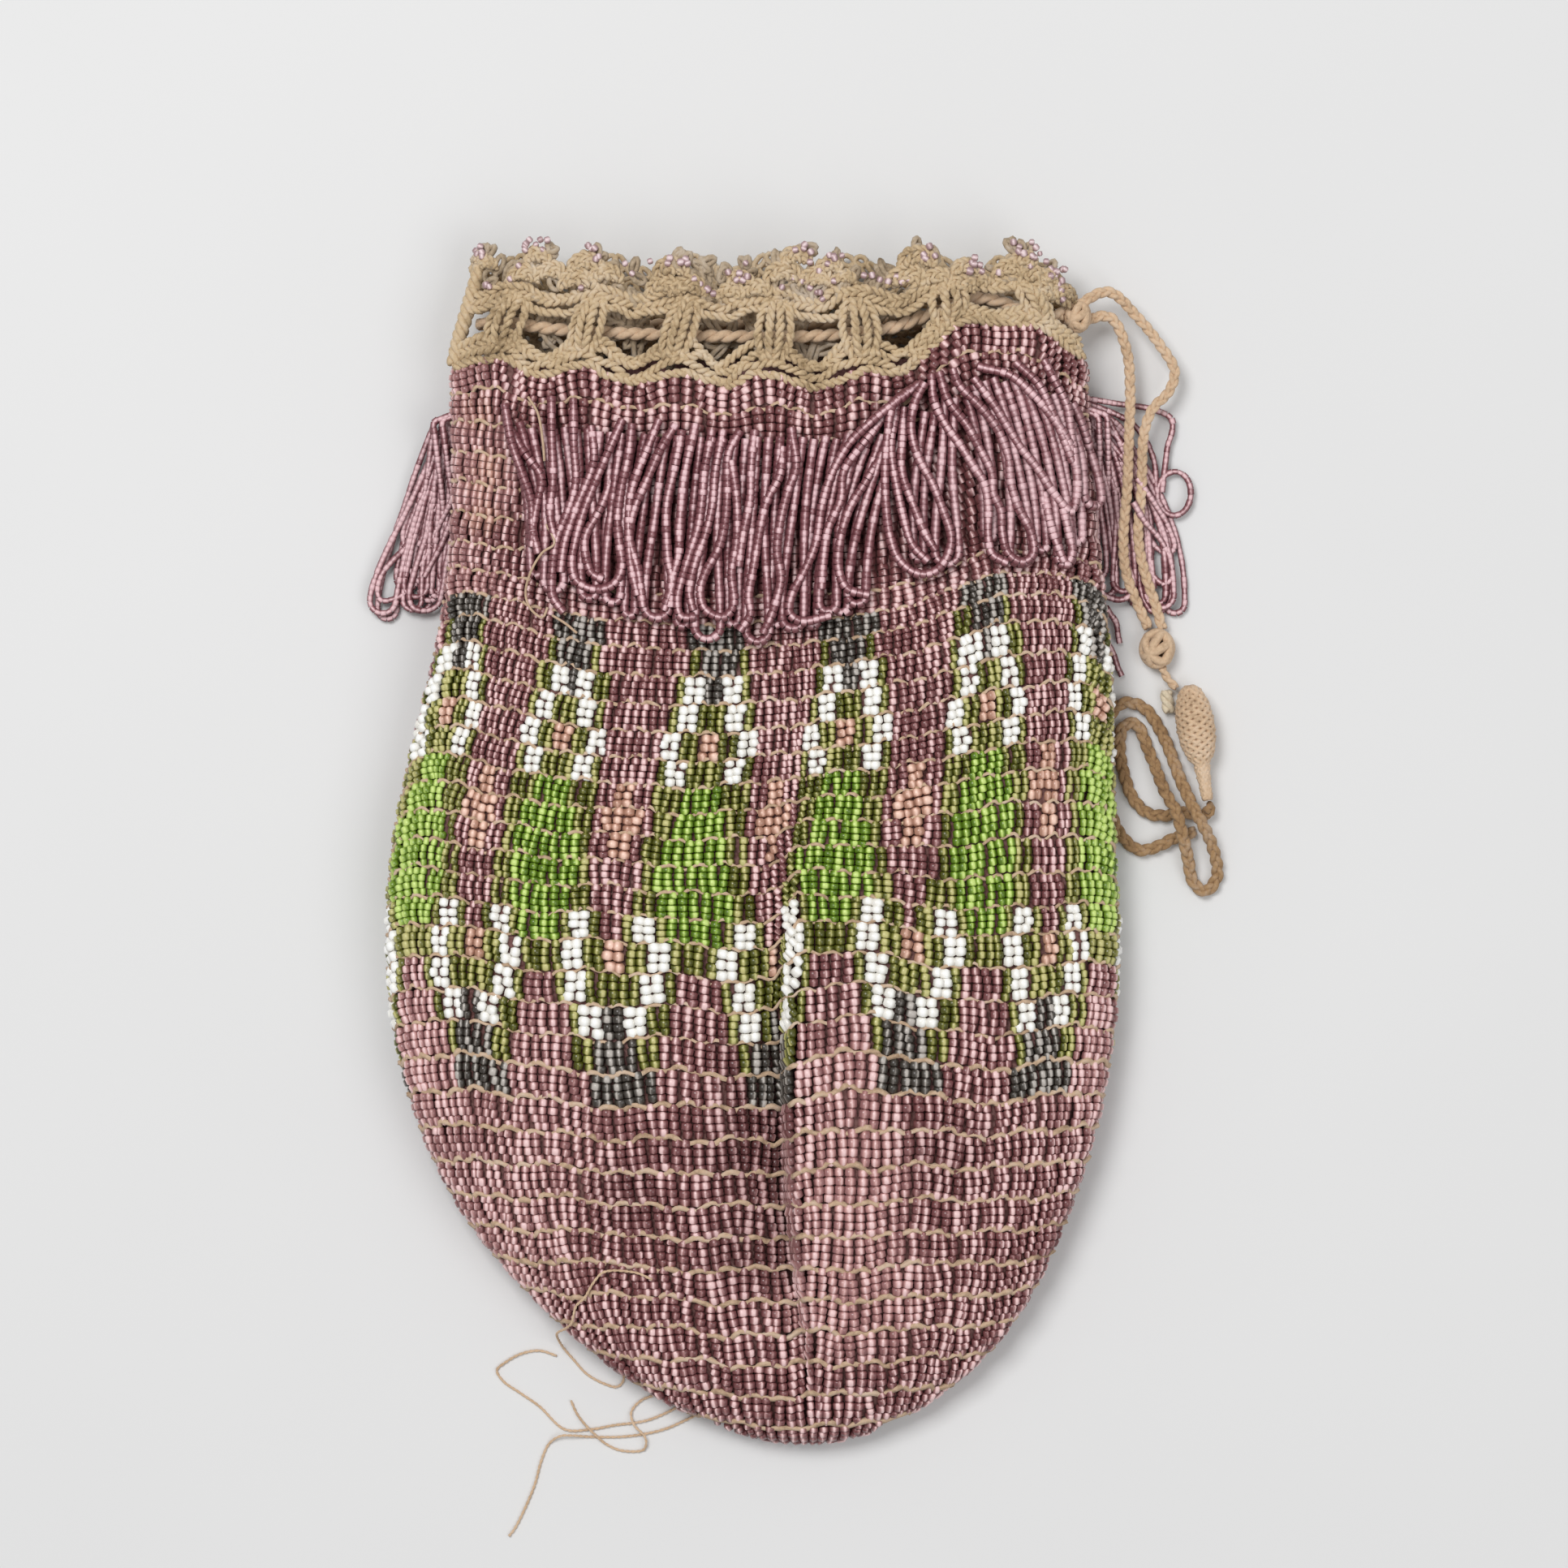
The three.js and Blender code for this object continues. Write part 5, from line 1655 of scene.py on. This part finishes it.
# Loose strands over the front fringe, in millimetres from the tip
LOOSE = (
    ((-44.3, 179.0), (-43.1, 173.1), (-41.2, 167.6), (-39.8, 162.9), (-39.6, 158.2), (-38.6, 154.2)),
    ((-43.1, 174.7), (-40.4, 170.3), (-38.2, 166.8), (-38.4, 162.9), (-39.4, 158.2), (-39.6, 155.4)),
    ((-36.3, 180.2), (-36.1, 173.1), (-36.1, 166.0), (-36.5, 160.5), (-35.7, 156.6)),
    ((-32.5, 179.8), (-32.3, 172.3), (-32.1, 166.0), (-33.7, 160.5), (-35.2, 156.6), (-36.0, 150.7),
     (-36.0, 146.4), (-34.4, 144.0)),
    ((-29.4, 175.1), (-29.0, 169.2), (-30.2, 165.2), (-32.4, 160.4), (-34.0, 156.0), (-34.6, 151.0)),
    ((-24.3, 176.2), (-26.6, 170.7), (-29.0, 165.2), (-30.9, 160.5), (-32.3, 155.8), (-32.9, 151.9),
     (-32.1, 149.1), (-29.0, 147.6), (-25.8, 148.3), (-24.1, 151.1), (-24.5, 155.8), (-24.8, 159.7),
     (-24.3, 164.4), (-23.1, 170.3), (-22.5, 175.4)),
    ((-26.2, 166.0), (-28.2, 160.5), (-30.2, 156.6), (-30.4, 153.4), (-29.4, 150.3), (-27.8, 149.5)),
    ((-18.0, 176.2), (-19.9, 171.5), (-21.5, 167.6), (-22.7, 162.9), (-23.0, 158.2), (-22.9, 153.4),
     (-21.6, 147.0)),
    ((-15.2, 175.4), (-18.0, 170.7), (-20.3, 165.6), (-21.9, 161.3), (-22.7, 156.6), (-21.5, 151.0),
     (-20.6, 145.0)),
    ((-14.0, 174.3), (-15.2, 167.6), (-16.4, 162.1), (-16.6, 158.2), (-16.4, 152.6), (-15.6, 148.7),
     (-16.8, 144.4)),
    ((-11.7, 175.4), (-12.9, 169.1), (-14.0, 163.6), (-14.6, 158.2), (-14.4, 153.4), (-15.6, 148.7),
     (-15.9, 145.0)),
    ((-8.9, 174.3), (-10.1, 167.6), (-10.3, 162.9), (-10.9, 158.2), (-12.5, 153.8), (-14.0, 149.5),
     (-14.8, 145.6), (-14.0, 142.8), (-12.1, 142.8)),
    ((-7.0, 174.3), (-8.2, 167.6), (-8.5, 162.1), (-9.7, 157.0), (-11.7, 151.9), (-12.7, 147.1),
     (-12.1, 144.4)),
    ((-4.2, 174.3), (-6.0, 170.7), (-6.2, 164.4), (-6.6, 158.9), (-7.8, 154.2), (-9.7, 150.7),
     (-10.7, 147.1), (-9.7, 144.0), (-6.6, 142.8), (-5.0, 144.8), (-5.4, 150.3), (-4.6, 155.8),
     (-4.6, 162.9), (-5.4, 169.1)),
    ((-1.5, 174.3), (-2.3, 167.6), (-2.5, 162.1), (-3.4, 156.6), (-4.2, 151.9)),
    ((3.2, 171.5), (2.8, 166.8), (0.9, 162.9), (-0.7, 156.6), (-1.9, 151.1), (-2.7, 146.4),
     (-2.3, 143.2), (-3.8, 140.8)),
    ((4.8, 174.7), (5.6, 168.4), (4.0, 164.4), (2.8, 159.7), (2.4, 154.2), (3.2, 149.5), (1.7, 144.0),
     (0.1, 140.4)),
    ((26.8, 182.7), (22.6, 179.7), (18.0, 176.0), (14.3, 172.3), (11.5, 167.2), (10.1, 162.1),
     (9.2, 155.6), (7.3, 150.9), (5.0, 146.7), (4.5, 143.5), (6.4, 142.1), (11.0, 143.0)),
    ((20.8, 177.4), (16.6, 171.8), (13.8, 167.6), (13.1, 163.0), (11.0, 158.3), (10.3, 152.8),
     (9.9, 148.1)),
    ((20.3, 171.3), (17.5, 165.8), (14.7, 161.1), (12.9, 156.5), (12.6, 151.8), (14.3, 147.7),
     (17.5, 146.7)),
    ((26.3, 182.5), (22.2, 179.2), (21.2, 174.1), (20.8, 168.5), (21.0, 162.0), (21.7, 156.5),
     (23.1, 152.7), (25.9, 150.4), (28.7, 150.4), (31.0, 152.7), (31.9, 156.5), (30.5, 161.1),
     (28.7, 165.8), (26.3, 170.4), (25.2, 175.1), (25.9, 179.7), (27.3, 182.5)),
    ((24.0, 178.3), (23.6, 173.2), (23.8, 167.6), (25.4, 162.0), (27.7, 156.9), (29.1, 154.6)),
    ((22.6, 178.8), (21.9, 172.7), (22.6, 165.8), (23.6, 160.2), (25.4, 155.1), (27.7, 152.7)),
    ((28.7, 183.9), (29.1, 179.7), (31.0, 175.5), (33.8, 171.8), (36.1, 168.5), (37.9, 165.8),
     (38.4, 162.0), (38.2, 157.4), (38.9, 153.7), (41.2, 152.3)),
    ((30.1, 184.3), (31.5, 179.7), (34.7, 175.5), (37.0, 171.3), (38.9, 167.6), (39.3, 163.9),
     (40.7, 161.1), (41.0, 157.4), (42.1, 153.7), (44.4, 152.3), (46.3, 153.7), (45.8, 157.4),
     (43.5, 161.6), (42.1, 165.8), (41.6, 170.4), (39.8, 175.1), (37.0, 178.8), (33.3, 182.5),
     (32.4, 184.8)),
    ((37.0, 185.7), (42.1, 184.3), (45.8, 181.1), (49.1, 177.4), (51.9, 173.7), (53.6, 169.4),
     (53.9, 164.0), (53.0, 161.0), (50.0, 164.0), (46.8, 168.5), (44.0, 171.8), (41.6, 175.5),
     (39.3, 179.2), (36.1, 183.4)),
    ((43.5, 186.2), (47.2, 182.5), (49.6, 177.8), (51.4, 173.6), (52.8, 170.0)),
    ((48.2, 186.6), (50.4, 182.4), (52.0, 178.6), (52.9, 174.0), (53.4, 169.4)),
    ((48.2, 163.9), (49.1, 159.2), (50.6, 154.6), (51.8, 152.0), (52.8, 154.0), (52.2, 157.4),
     (51.4, 161.1)),
)
# Broken bits at the right side: a curled loop and two ends under it
AROUND = np.linspace(-2.6, 3.3, 30)
CURL = np.stack((71.4 + 3.0 * np.cos(AROUND), 164.9 + 3.8 * np.sin(AROUND), 1.3 + 0 * AROUND), 1)
BROKEN = (
    CURL,
    ((58.2, 141.4, 5.2), (59.4, 139.2, 2.6), (60.8, 136.6, 0.9), (62.1, 133.6, 0.8)),
    ((59.6, 144.6, 4.6), (61.2, 142.2, 1.6), (61.8, 139.4, 0.8)),
)
# Strands on top of the side bunches, in millimetres from the tip
LEFT_STRANDS = (
    ((-52.5, 176.8), (-55.9, 174.7), (-56.4, 171.2), (-58.5, 166.3), (-61.5, 161.8), (-62.6, 158.3),
     (-62.0, 154.3), (-61.0, 150.8), (-59.4, 149.2), (-56.1, 147.6), (-53.8, 148.4), (-52.6, 150.8),
     (-52.6, 155.7), (-53.2, 159.6), (-54.9, 165.1), (-55.9, 170.9), (-53.1, 175.4)),
    ((-52.5, 175.7), (-56.8, 169.1), (-60.3, 162.8), (-62.3, 155.7), (-64.4, 153.4), (-66.4, 150.8),
     (-67.1, 147.8), (-66.4, 146.3), (-63.4, 146.9), (-61.7, 148.1), (-60.1, 153.0), (-57.5, 160.0),
     (-53.6, 171.2)),
    ((-52.5, 174.0), (-56.1, 165.6), (-58.9, 157.2), (-61.0, 150.8), (-61.7, 146.9), (-60.8, 144.9),
     (-58.1, 144.6), (-56.4, 145.7), (-55.9, 147.3), (-55.0, 153.0), (-53.9, 160.0), (-52.2, 168.4)),
    ((-52.5, 174.0), (-57.0, 167.4), (-55.9, 163.1), (-54.6, 158.9), (-53.8, 154.3), (-53.9, 150.4),
     (-55.0, 148.8)),
    ((-52.5, 167.0), (-57.3, 157.5), (-58.5, 154.3), (-59.6, 152.7)),
    ((-52.5, 164.2), (-55.6, 156.7), (-57.5, 153.4), (-58.8, 150.8)),
    ((-52.5, 171.9), (-57.3, 162.5), (-58.5, 159.5), (-59.9, 156.2)),
)
RIGHT_STRANDS = (
    ((55.3, 181.2), (61.0, 180.5), (67.5, 179.6), (70.7, 177.9), (70.7, 175.4), (70.1, 173.5),
     (69.7, 169.5), (69.3, 165.6)),
    ((55.3, 179.9), (58.8, 174.4), (58.5, 170.2), (58.1, 165.2), (57.8, 160.0)),
    ((55.3, 179.2), (60.6, 173.5), (61.0, 168.1), (61.3, 162.4), (62.0, 157.2)),
    ((65.0, 167.0), (68.2, 162.4), (70.3, 159.5), (71.5, 155.5), (70.3, 154.6), (68.2, 155.5),
     (66.2, 158.6)),
    ((64.3, 162.8), (65.9, 160.2), (68.9, 156.7), (70.6, 153.0), (70.8, 150.2), (69.6, 149.1),
     (67.6, 150.8), (65.4, 154.4)),
    ((55.3, 153.0), (56.7, 149.5), (58.8, 147.3), (62.0, 146.4), (63.8, 147.3), (64.3, 149.5),
     (62.9, 153.0)),
    ((55.3, 180.7), (64.3, 176.8), (67.8, 171.2), (68.5, 165.6), (69.3, 160.0), (70.7, 153.0),
     (70.1, 145.3), (67.6, 144.3), (65.9, 146.7), (64.8, 153.0)),
    ((55.3, 180.3), (62.2, 176.1), (65.4, 169.8), (66.4, 162.8), (67.1, 154.4), (67.8, 148.8)),
)
# Bare ends of sewing thread on the fringe
BARE = (
    ((-40.3, 180.6), (-38.6, 177.8), (-37.7, 173.0), (-37.4, 169.5)),
    ((-37.7, 159.7), (-35.7, 155.4), (-37.7, 153.9), (-39.8, 150.4), (-40.6, 146.7), (-39.6, 144.1),
     (-37.7, 142.8), (-36.8, 144.5)),
    ((-36.1, 143.2), (-33.7, 141.7), (-31.8, 140.1)),
)


def loose_strand(knots):
    """One loose strand, lifted off its heading on to the loops under it."""
    places = np.array(knots) * MM + SHIFT[:2]
    line = route(np.c_[places, np.zeros(len(places))], STRAND_STEP)
    run = np.arange(len(line)) * STRAND_STEP
    lifted = STRAND * smooth(run, 0, 6 * MM)
    line[:, 2] = rest_on(line[:, 0], line[:, 1]) + lifted
    return line


def fringe_lines():
    """Lines of the fringe loops of each place, with the names of the solids that they stand for."""
    return {
        "front": list(front_fringe("fringe_front", 18, -0.82, 0.43, FRONT_DROP, FRONT_SWEEP)),
        "fan": list(front_fringe("fringe_fan", 8, 0.46, 0.955, FAN_DROP, FAN_SWEEP)),
        "loose": [(None, loose_strand(knots)) for knots in LOOSE],
        "left": [
            *side_fringe("fringe_left", -1.0, 0.27, 1.4, 0.8),
            *((None, traced_strand(knots, i)) for i, knots in enumerate(LEFT_STRANDS)),
        ],
        "right": [
            *side_fringe("fringe_right", 1.0, 0.37, 2.5, 0.55),
            *((None, traced_strand(knots, i)) for i, knots in enumerate(RIGHT_STRANDS)),
            *((None, route(np.array(knots) * MM, 0.3 * MM) + SHIFT) for knots in BROKEN),
        ],
        "back": list(back_fringe("fringe_back", 8)),
    }


class RETICULE_OT_fringe(bpy.types.Operator):
    """Strings the looped fringe of both faces and both sides."""

    bl_idname = "reticule.fringe"
    bl_label = "Fringe"

    def execute(self, context):
        sizes = sizes_of(context)
        rng = np.random.default_rng(FRINGE_SEED)
        fine = bead_master(6, FRINGE_ROUNDING)
        plain = bead_master(6, 0)
        fringe_glass = glass("fringe_glass", colours_of(context), "fringe", FRINGE_UNEVEN, PALER_FRINGE)
        for kind, loops in fringe_lines().items():
            places, shades = [], []
            beside = kind in ("left", "right")
            width, pitch = sizes.strand_width, sizes.bead_length
            if beside or kind == "back":
                width, pitch = sizes.side_strand_width, 0.95 * sizes.bead_length
            for _, points in loops:
                line = evenly(points, pitch)
                count = len(line)
                sway = np.sin(np.linspace(0, rng.uniform(5, 11), count) + rng.uniform(0, 6))
                sway = sway * rng.uniform(0.1, 0.3)
                line = line + np.outer(sway * np.sin(np.linspace(0, np.pi, count)) * MM, (1, 0, 0))
                across, along, up = line_axes(line)
                wide = width * 1.02 * rng.normal(1, 0.06, (count, 1))
                line[:, 2] = np.maximum(line[:, 2], 0.5 * wide.max() + 0.02 * MM)
                places.append(np.stack((line, across * wide, along * pitch, up * wide), 1))
                paled = 0.75 if beside else 0.5
                shades.append(np.clip(rng.normal(paled, 0.12) + rng.normal(0, 0.2, count), 0, 1))
            master = fine if kind == "loose" else plain
            beads = strung(f"fringe_{kind}_beads", master, np.concatenate(places), np.concatenate(shades))
            settle(beads, fringe_glass, "bead_strand")
            nodes = [node for node, _ in loops if node]
            if nodes:
                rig.replaces(beads, *nodes)
        bare = [loose_strand(knots) + (0, 0, 0.8 * STRAND) for knots in BARE]
        ends = strands("fringe_thread", bare, 0.45 * MM)
        settle(ends, cotton("bare_thread_cotton", colours_of(context).thread, 2200.0, 0.8), "thread")
        return {"FINISHED"}


# Beads on the heading, in millimetres from the tip
HEADING_BEADS = (
    (-39.3, 207.6), (-38.2, 206.8), (-37.1, 205.9), (-36.3, 207.6), (-29.4, 206.5), (-23.2, 203.4),
    (-19.0, 203.8), (-11.6, 200.6), (-10.5, 199.8), (-9.4, 198.9), (-8.4, 198.2), (5.0, 200.9),
    (6.4, 200.3), (7.8, 199.2), (9.0, 198.4), (9.9, 197.3), (18.2, 201.3), (19.5, 200.6),
    (20.9, 200.3), (22.3, 201.2), (23.2, 200.3), (42.0, 207.2), (43.0, 206.4), (43.8, 205.4),
    (45.1, 207.3), (45.8, 206.4), (46.5, 205.4), (47.6, 204.1), (48.4, 202.9), (49.1, 201.6),
    (49.7, 200.3), (50.1, 199.1), (50.4, 197.7), (50.5, 203.0),
)
# Knotted tips along the top of the heading: middle and size
HEADING_TIPS = (
    (-48.0, 206.4, 1.6), (-37.8, 206.0, 2.3), (-28.4, 205.0, 2.4), (-14.2, 203.6, 2.4),
    (-3.0, 202.0, 2.0), (6.4, 205.4, 2.4), (12.0, 203.6, 1.8), (27.0, 205.6, 2.6), (35.0, 203.4, 1.8),
    (44.2, 206.0, 2.4), (49.2, 202.4, 2.0),
)


# Loose loops of the net, behind the eyelets and over the top: how many, and the ranges of their place
# across and up the heading, their width and height in millimetres, and how far they stand off it
NET_LOOPS = (
    (90, (-0.94, 0.97), (0.22, 0.6), (1.8, 3.2), (0.4, 0.7), (-6.2, -5)),
    (100, (-0.97, 0.97), (0.64, 0.98), (0.9, 1.7), (0.35, 0.6), (-0.3, 0.5)),
)
ROPE_LEVELS = (-0.02, 0.075, 0.17, 0.25, 0.53, 0.61, 0.69)
BACK_LEVELS = (0.03, 0.13, 0.23, 0.32, 0.41, 0.5, 0.6, 0.7, 0.8, 0.9, 0.99)
BACK_PITCH = 2.5 * MM
ROPE_LAY = 2.8 * MM
POST_LAY = 3.0 * MM
# Shells under each tip: how far down and aside, in sizes of the tip
SHELLS = ((1.0, -0.4), (2.4, 0.9), (2.6, -1.2))
HEADING_BEAD = 1.25 * MM


def stitch(middle, wide, high, turn, raised):
    """One closed loop of yarn on the heading, about a place across it and up it."""
    t = np.linspace(0, 2 * np.pi, 10, endpoint=False)
    across = wide * np.cos(t) * math.cos(turn) - high * np.sin(t) * math.sin(turn)
    up = wide * np.cos(t) * math.sin(turn) + high * np.sin(t) * math.cos(turn)
    out = raised + 0.4 * MM * np.sin(t + 0.8)
    return middle[0] + across / half_width(BAG_LENGTH), middle[1] + up / LACE_HEIGHT, out


def stitch_rows(levels, pitch, rng):
    """Loops side by side in rows, each row half a loop further on."""
    count = int(round(2 * half_width(BAG_LENGTH) / pitch))
    for j, level in enumerate(levels):
        for i in range(count):
            xi = 0.985 * (2 * (i + 0.5 * (j % 2) + 0.25) / count - 1)
            at = level + rng.normal(0, 0.008)
            turn = (0.6 if (i + j) % 2 else -0.5) + rng.normal(0, 0.12)
            size = pitch * rng.normal(0.5, 0.04)
            yield stitch((xi, at), size, 0.6 * size, turn, rng.normal(0.25, 0.1) * MM)


def rope_rows(levels, rng):
    """Rows of crochet along the heading, each a rope laid against the twist of the row above it."""
    xi = np.linspace(-0.985, 0.985, 160)
    under_post = 0.5 - 0.5 * np.cos(np.pi * POSTS * (xi + 1))
    for j, level in enumerate(levels):
        at = level * mix(0.55, 1.15, under_post) if level < 0.3 else level + 0.02 * under_post
        stray, raised = (np.convolve(rng.normal(0, 1, 160), np.ones(4) / 4, "same") for _ in range(2))
        line = evenly(lace_front(xi, at + 0.035 * stray, (0.3 + 0.35 * raised) * MM), 0.42 * MM)
        yield from plies(line, 2, ROPE_LAY if j % 2 else -ROPE_LAY, 0.42 * MM, 0.7 * j)


def puff(middle, wide, lean):
    """Columns of stitches of one puffed post of the heading, drawn in at both ends."""
    t = np.linspace(0, 1, 22)
    bulge = np.sin(np.pi * np.clip(t * 1.06 - 0.03, 0, 1)) ** 0.7
    for k, a in enumerate(np.linspace(-1, 1, 4)):
        xi = middle + (lean * (t - 0.5) + a * wide * (0.5 + 0.5 * bulge)) / half_width(BAG_LENGTH)
        line = lace_front(xi, mix(0.13, 0.62, t), (0.2 + 1.5 * bulge * (1 - 0.5 * a * a)) * MM)
        yield from plies(line, 2, POST_LAY if k % 2 else -POST_LAY, 0.4 * MM)


def shell(x, y, size, lean):
    """Ribs of one crocheted shell, an arch within an arch, about a place in metres from the tip."""
    t = np.linspace(-0.35, np.pi + 0.35, 26)
    for k, share in enumerate((1.0, 0.62, 0.28)):
        reach = share * size
        rib = over(
            x + 1.15 * reach * np.cos(t) + lean * np.sin(t),
            y + reach * np.sin(t),
            (0.8 + 0.5 * (1 - share)) * MM,
        )
        yield from plies(evenly(rib, 0.4 * MM), 2, ROPE_LAY if k % 2 else -ROPE_LAY, 0.34 * MM)


def net_loops(rng):
    """Loose loops of the net over the whole heading."""
    for number, across, levels, widths, heights, offsets in NET_LOOPS:
        for _ in range(number):
            middle = rng.uniform(*across), rng.uniform(*levels)
            wide, high = rng.uniform(*widths) * MM, rng.uniform(*heights) * MM
            turn, raised = rng.uniform(0, np.pi), rng.uniform(*offsets) * MM
            yield lace_front(*stitch(middle, wide, high, turn, raised))


def tip_loops(rng):
    """Loops knotted together at each tip of the heading."""
    t = np.linspace(0, 2 * np.pi, 10, endpoint=False)
    for x, y, size in HEADING_TIPS:
        for _ in range(4):
            place = (np.array((x, y)) + rng.normal(0, 0.4 * size, 2)) * MM
            at = over(*place, rng.uniform(-0.6, 0.3) * MM)
            turn, tilt = rng.uniform(0, np.pi), rng.uniform(-0.9, 0.9)
            ring = rng.uniform(0.8, 1.4) * np.stack((np.cos(t), 0.4 * np.sin(t), tilt * np.sin(t)), 1)
            cos, sin = math.cos(turn), math.sin(turn)
            yield at + ring @ np.array(((cos, sin, 0), (-sin, cos, 0), (0, 0, 1))) * MM


def heading_spots(rng):
    """Places of the heading's beads: those seen singly, a few on each tip and some in the net."""
    spots = [over(x * MM, y * MM, 1.0 * MM) for x, y in HEADING_BEADS]
    for x, y, size in HEADING_TIPS:
        for _ in range(5):
            place = (np.array((x, y)) + size * rng.uniform(-0.8, 0.7, 2)) * MM
            spots.append(over(*place, 1.5 * MM))
    return spots + [lace_front(rng.uniform(-0.95, 0.95), rng.uniform(0.7, 0.98), 1.2 * MM) for _ in range(16)]


class RETICULE_OT_heading(bpy.types.Operator):
    """Crochets the heading: stitch rows, puffed posts, a knotted net with picots, and its few beads."""

    bl_idname = "reticule.heading"
    bl_label = "Heading"

    def execute(self, context):
        sizes = sizes_of(context)
        colours = colours_of(context)
        rng = np.random.default_rng(HEADING_SEED)
        crochet = cotton("crochet_cotton", colours.crochet, 1100.0, 1.6)

        def lumpy(count):
            return rng.uniform(0.7, 1.15, count)

        ropes = strands("ropes", list(rope_rows(ROPE_LEVELS, rng)), sizes.yarn, wave=lumpy)
        lines = [*net_loops(rng), *tip_loops(rng)]
        ribs = []
        for x, y, size in HEADING_TIPS:
            for drop, aside in SHELLS:
                place = np.array((x + aside * size, y - drop * size * 0.8)) + rng.normal(0, 0.3, 2)
                ribs += shell(*(place * MM), rng.uniform(0.75, 1.1) * size * MM, rng.uniform(-0.6, 0.6) * MM)
        ribs = strands("shells", ribs, 0.95 * sizes.yarn, sides=0, wave=lumpy)
        thin = strands("crochet_net", lines, sizes.yarn, closed=True)
        lines = []
        for m in range(POSTS):
            wide = rng.uniform(2.1, 3.1) * MM
            lean = rng.uniform(-2.2, 2.2) * MM
            lines += puff((2 * m + 1) / POSTS - 1 + rng.uniform(-0.02, 0.02), wide, lean)
        thick = strands("puffs", lines, sizes.yarn, wave=lumpy)
        edge = lace_front(np.full(24, -0.985), np.linspace(0, 1.02, 24), 0.5 * MM)
        corner = strands("corner", plies(evenly(edge, 0.4 * MM), 3, 4.6 * MM, 0.75 * MM), 1.3 * MM)
        front_yarn = settle(joined("crochet_front", [ropes, thick, ribs, corner]), crochet, "crochet")
        settle(thin, cotton("net_cotton", colours.net, 1100.0, 1.8), "crochet")
        lines = []
        for xi, level, out in stitch_rows(BACK_LEVELS, BACK_PITCH, rng):
            if xi.max() > -0.86 or not 0.2 < level.mean() < 0.55:
                lines.append(lace_back(xi, level, -1.0 * MM + 0.5 * out))
        back_yarn = strands("crochet_back", lines, 1.0 * MM, sides=0, closed=True)
        settle(back_yarn, crochet, "crochet")
        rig.replaces(front_yarn, "lace_header")
        places = []
        for spot in heading_spots(rng):
            turn = rng.uniform(0, np.pi)
            wide = HEADING_BEAD * rng.normal(1, 0.08)
            places.append((
                spot,
                (wide * math.cos(turn), wide * math.sin(turn), 0.0),
                (-0.85 * wide * math.sin(turn), 0.85 * wide * math.cos(turn), 0.0),
                (0.0, 0.0, wide),
            ))
        shades = rng.uniform(0.2, 0.9, len(places))
        beads = strung("heading_beads", bead_master(6, ROUND_ROUNDING), np.array(places), shades)
        settle(beads, glass("lilac_glass", colours, "lilac", LILAC_UNEVEN), "bead_strand")
        return {"FINISHED"}


STEPS = (
    RETICULE_OT_stage,
    RETICULE_OT_drawstring,
    RETICULE_OT_tassel,
    RETICULE_OT_loose_threads,
    RETICULE_OT_lining,
    RETICULE_OT_bead_rows,
    RETICULE_OT_row_threads,
    RETICULE_OT_fringe,
    RETICULE_OT_heading,
)


class RETICULE_PT_panel(bpy.types.Panel):
    """Lists the steps, sizes and colours of the reticule."""

    bl_idname = "RETICULE_PT_panel"
    bl_label = "Beaded reticule"
    bl_space_type = "VIEW_3D"
    bl_region_type = "UI"
    bl_category = "Reticule"

    def draw(self, context):
        for step in STEPS:
            self.layout.operator(step.bl_idname)
        for group in (sizes_of(context), colours_of(context)):
            for name in group.__annotations__:
                self.layout.prop(group, name)


CLASSES = (ReticuleSizes, ReticuleColours, *STEPS, RETICULE_PT_panel)


def register():
    for cls in CLASSES:
        bpy.utils.register_class(cls)
    bpy.types.Scene.reticule_sizes = PointerProperty(type=ReticuleSizes)
    bpy.types.Scene.reticule_colours = PointerProperty(type=ReticuleColours)


def unregister():
    del bpy.types.Scene.reticule_colours
    del bpy.types.Scene.reticule_sizes
    for cls in reversed(CLASSES):
        bpy.utils.unregister_class(cls)


def main():
    register()
    bpy.ops.reticule.stage()
    bpy.ops.reticule.drawstring()
    bpy.ops.reticule.tassel()
    bpy.ops.reticule.loose_threads()
    bpy.ops.reticule.lining()
    bpy.ops.reticule.bead_rows()
    bpy.ops.reticule.row_threads()
    bpy.ops.reticule.fringe()
    bpy.ops.reticule.heading()
    sizes = {"cad": [list(c) for c in CAD_BOX], "visual": [list(c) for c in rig.bounds()]}
    with open("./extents.json", "w") as out:
        json.dump(sizes, out)


if __name__ == "__main__":
    main()
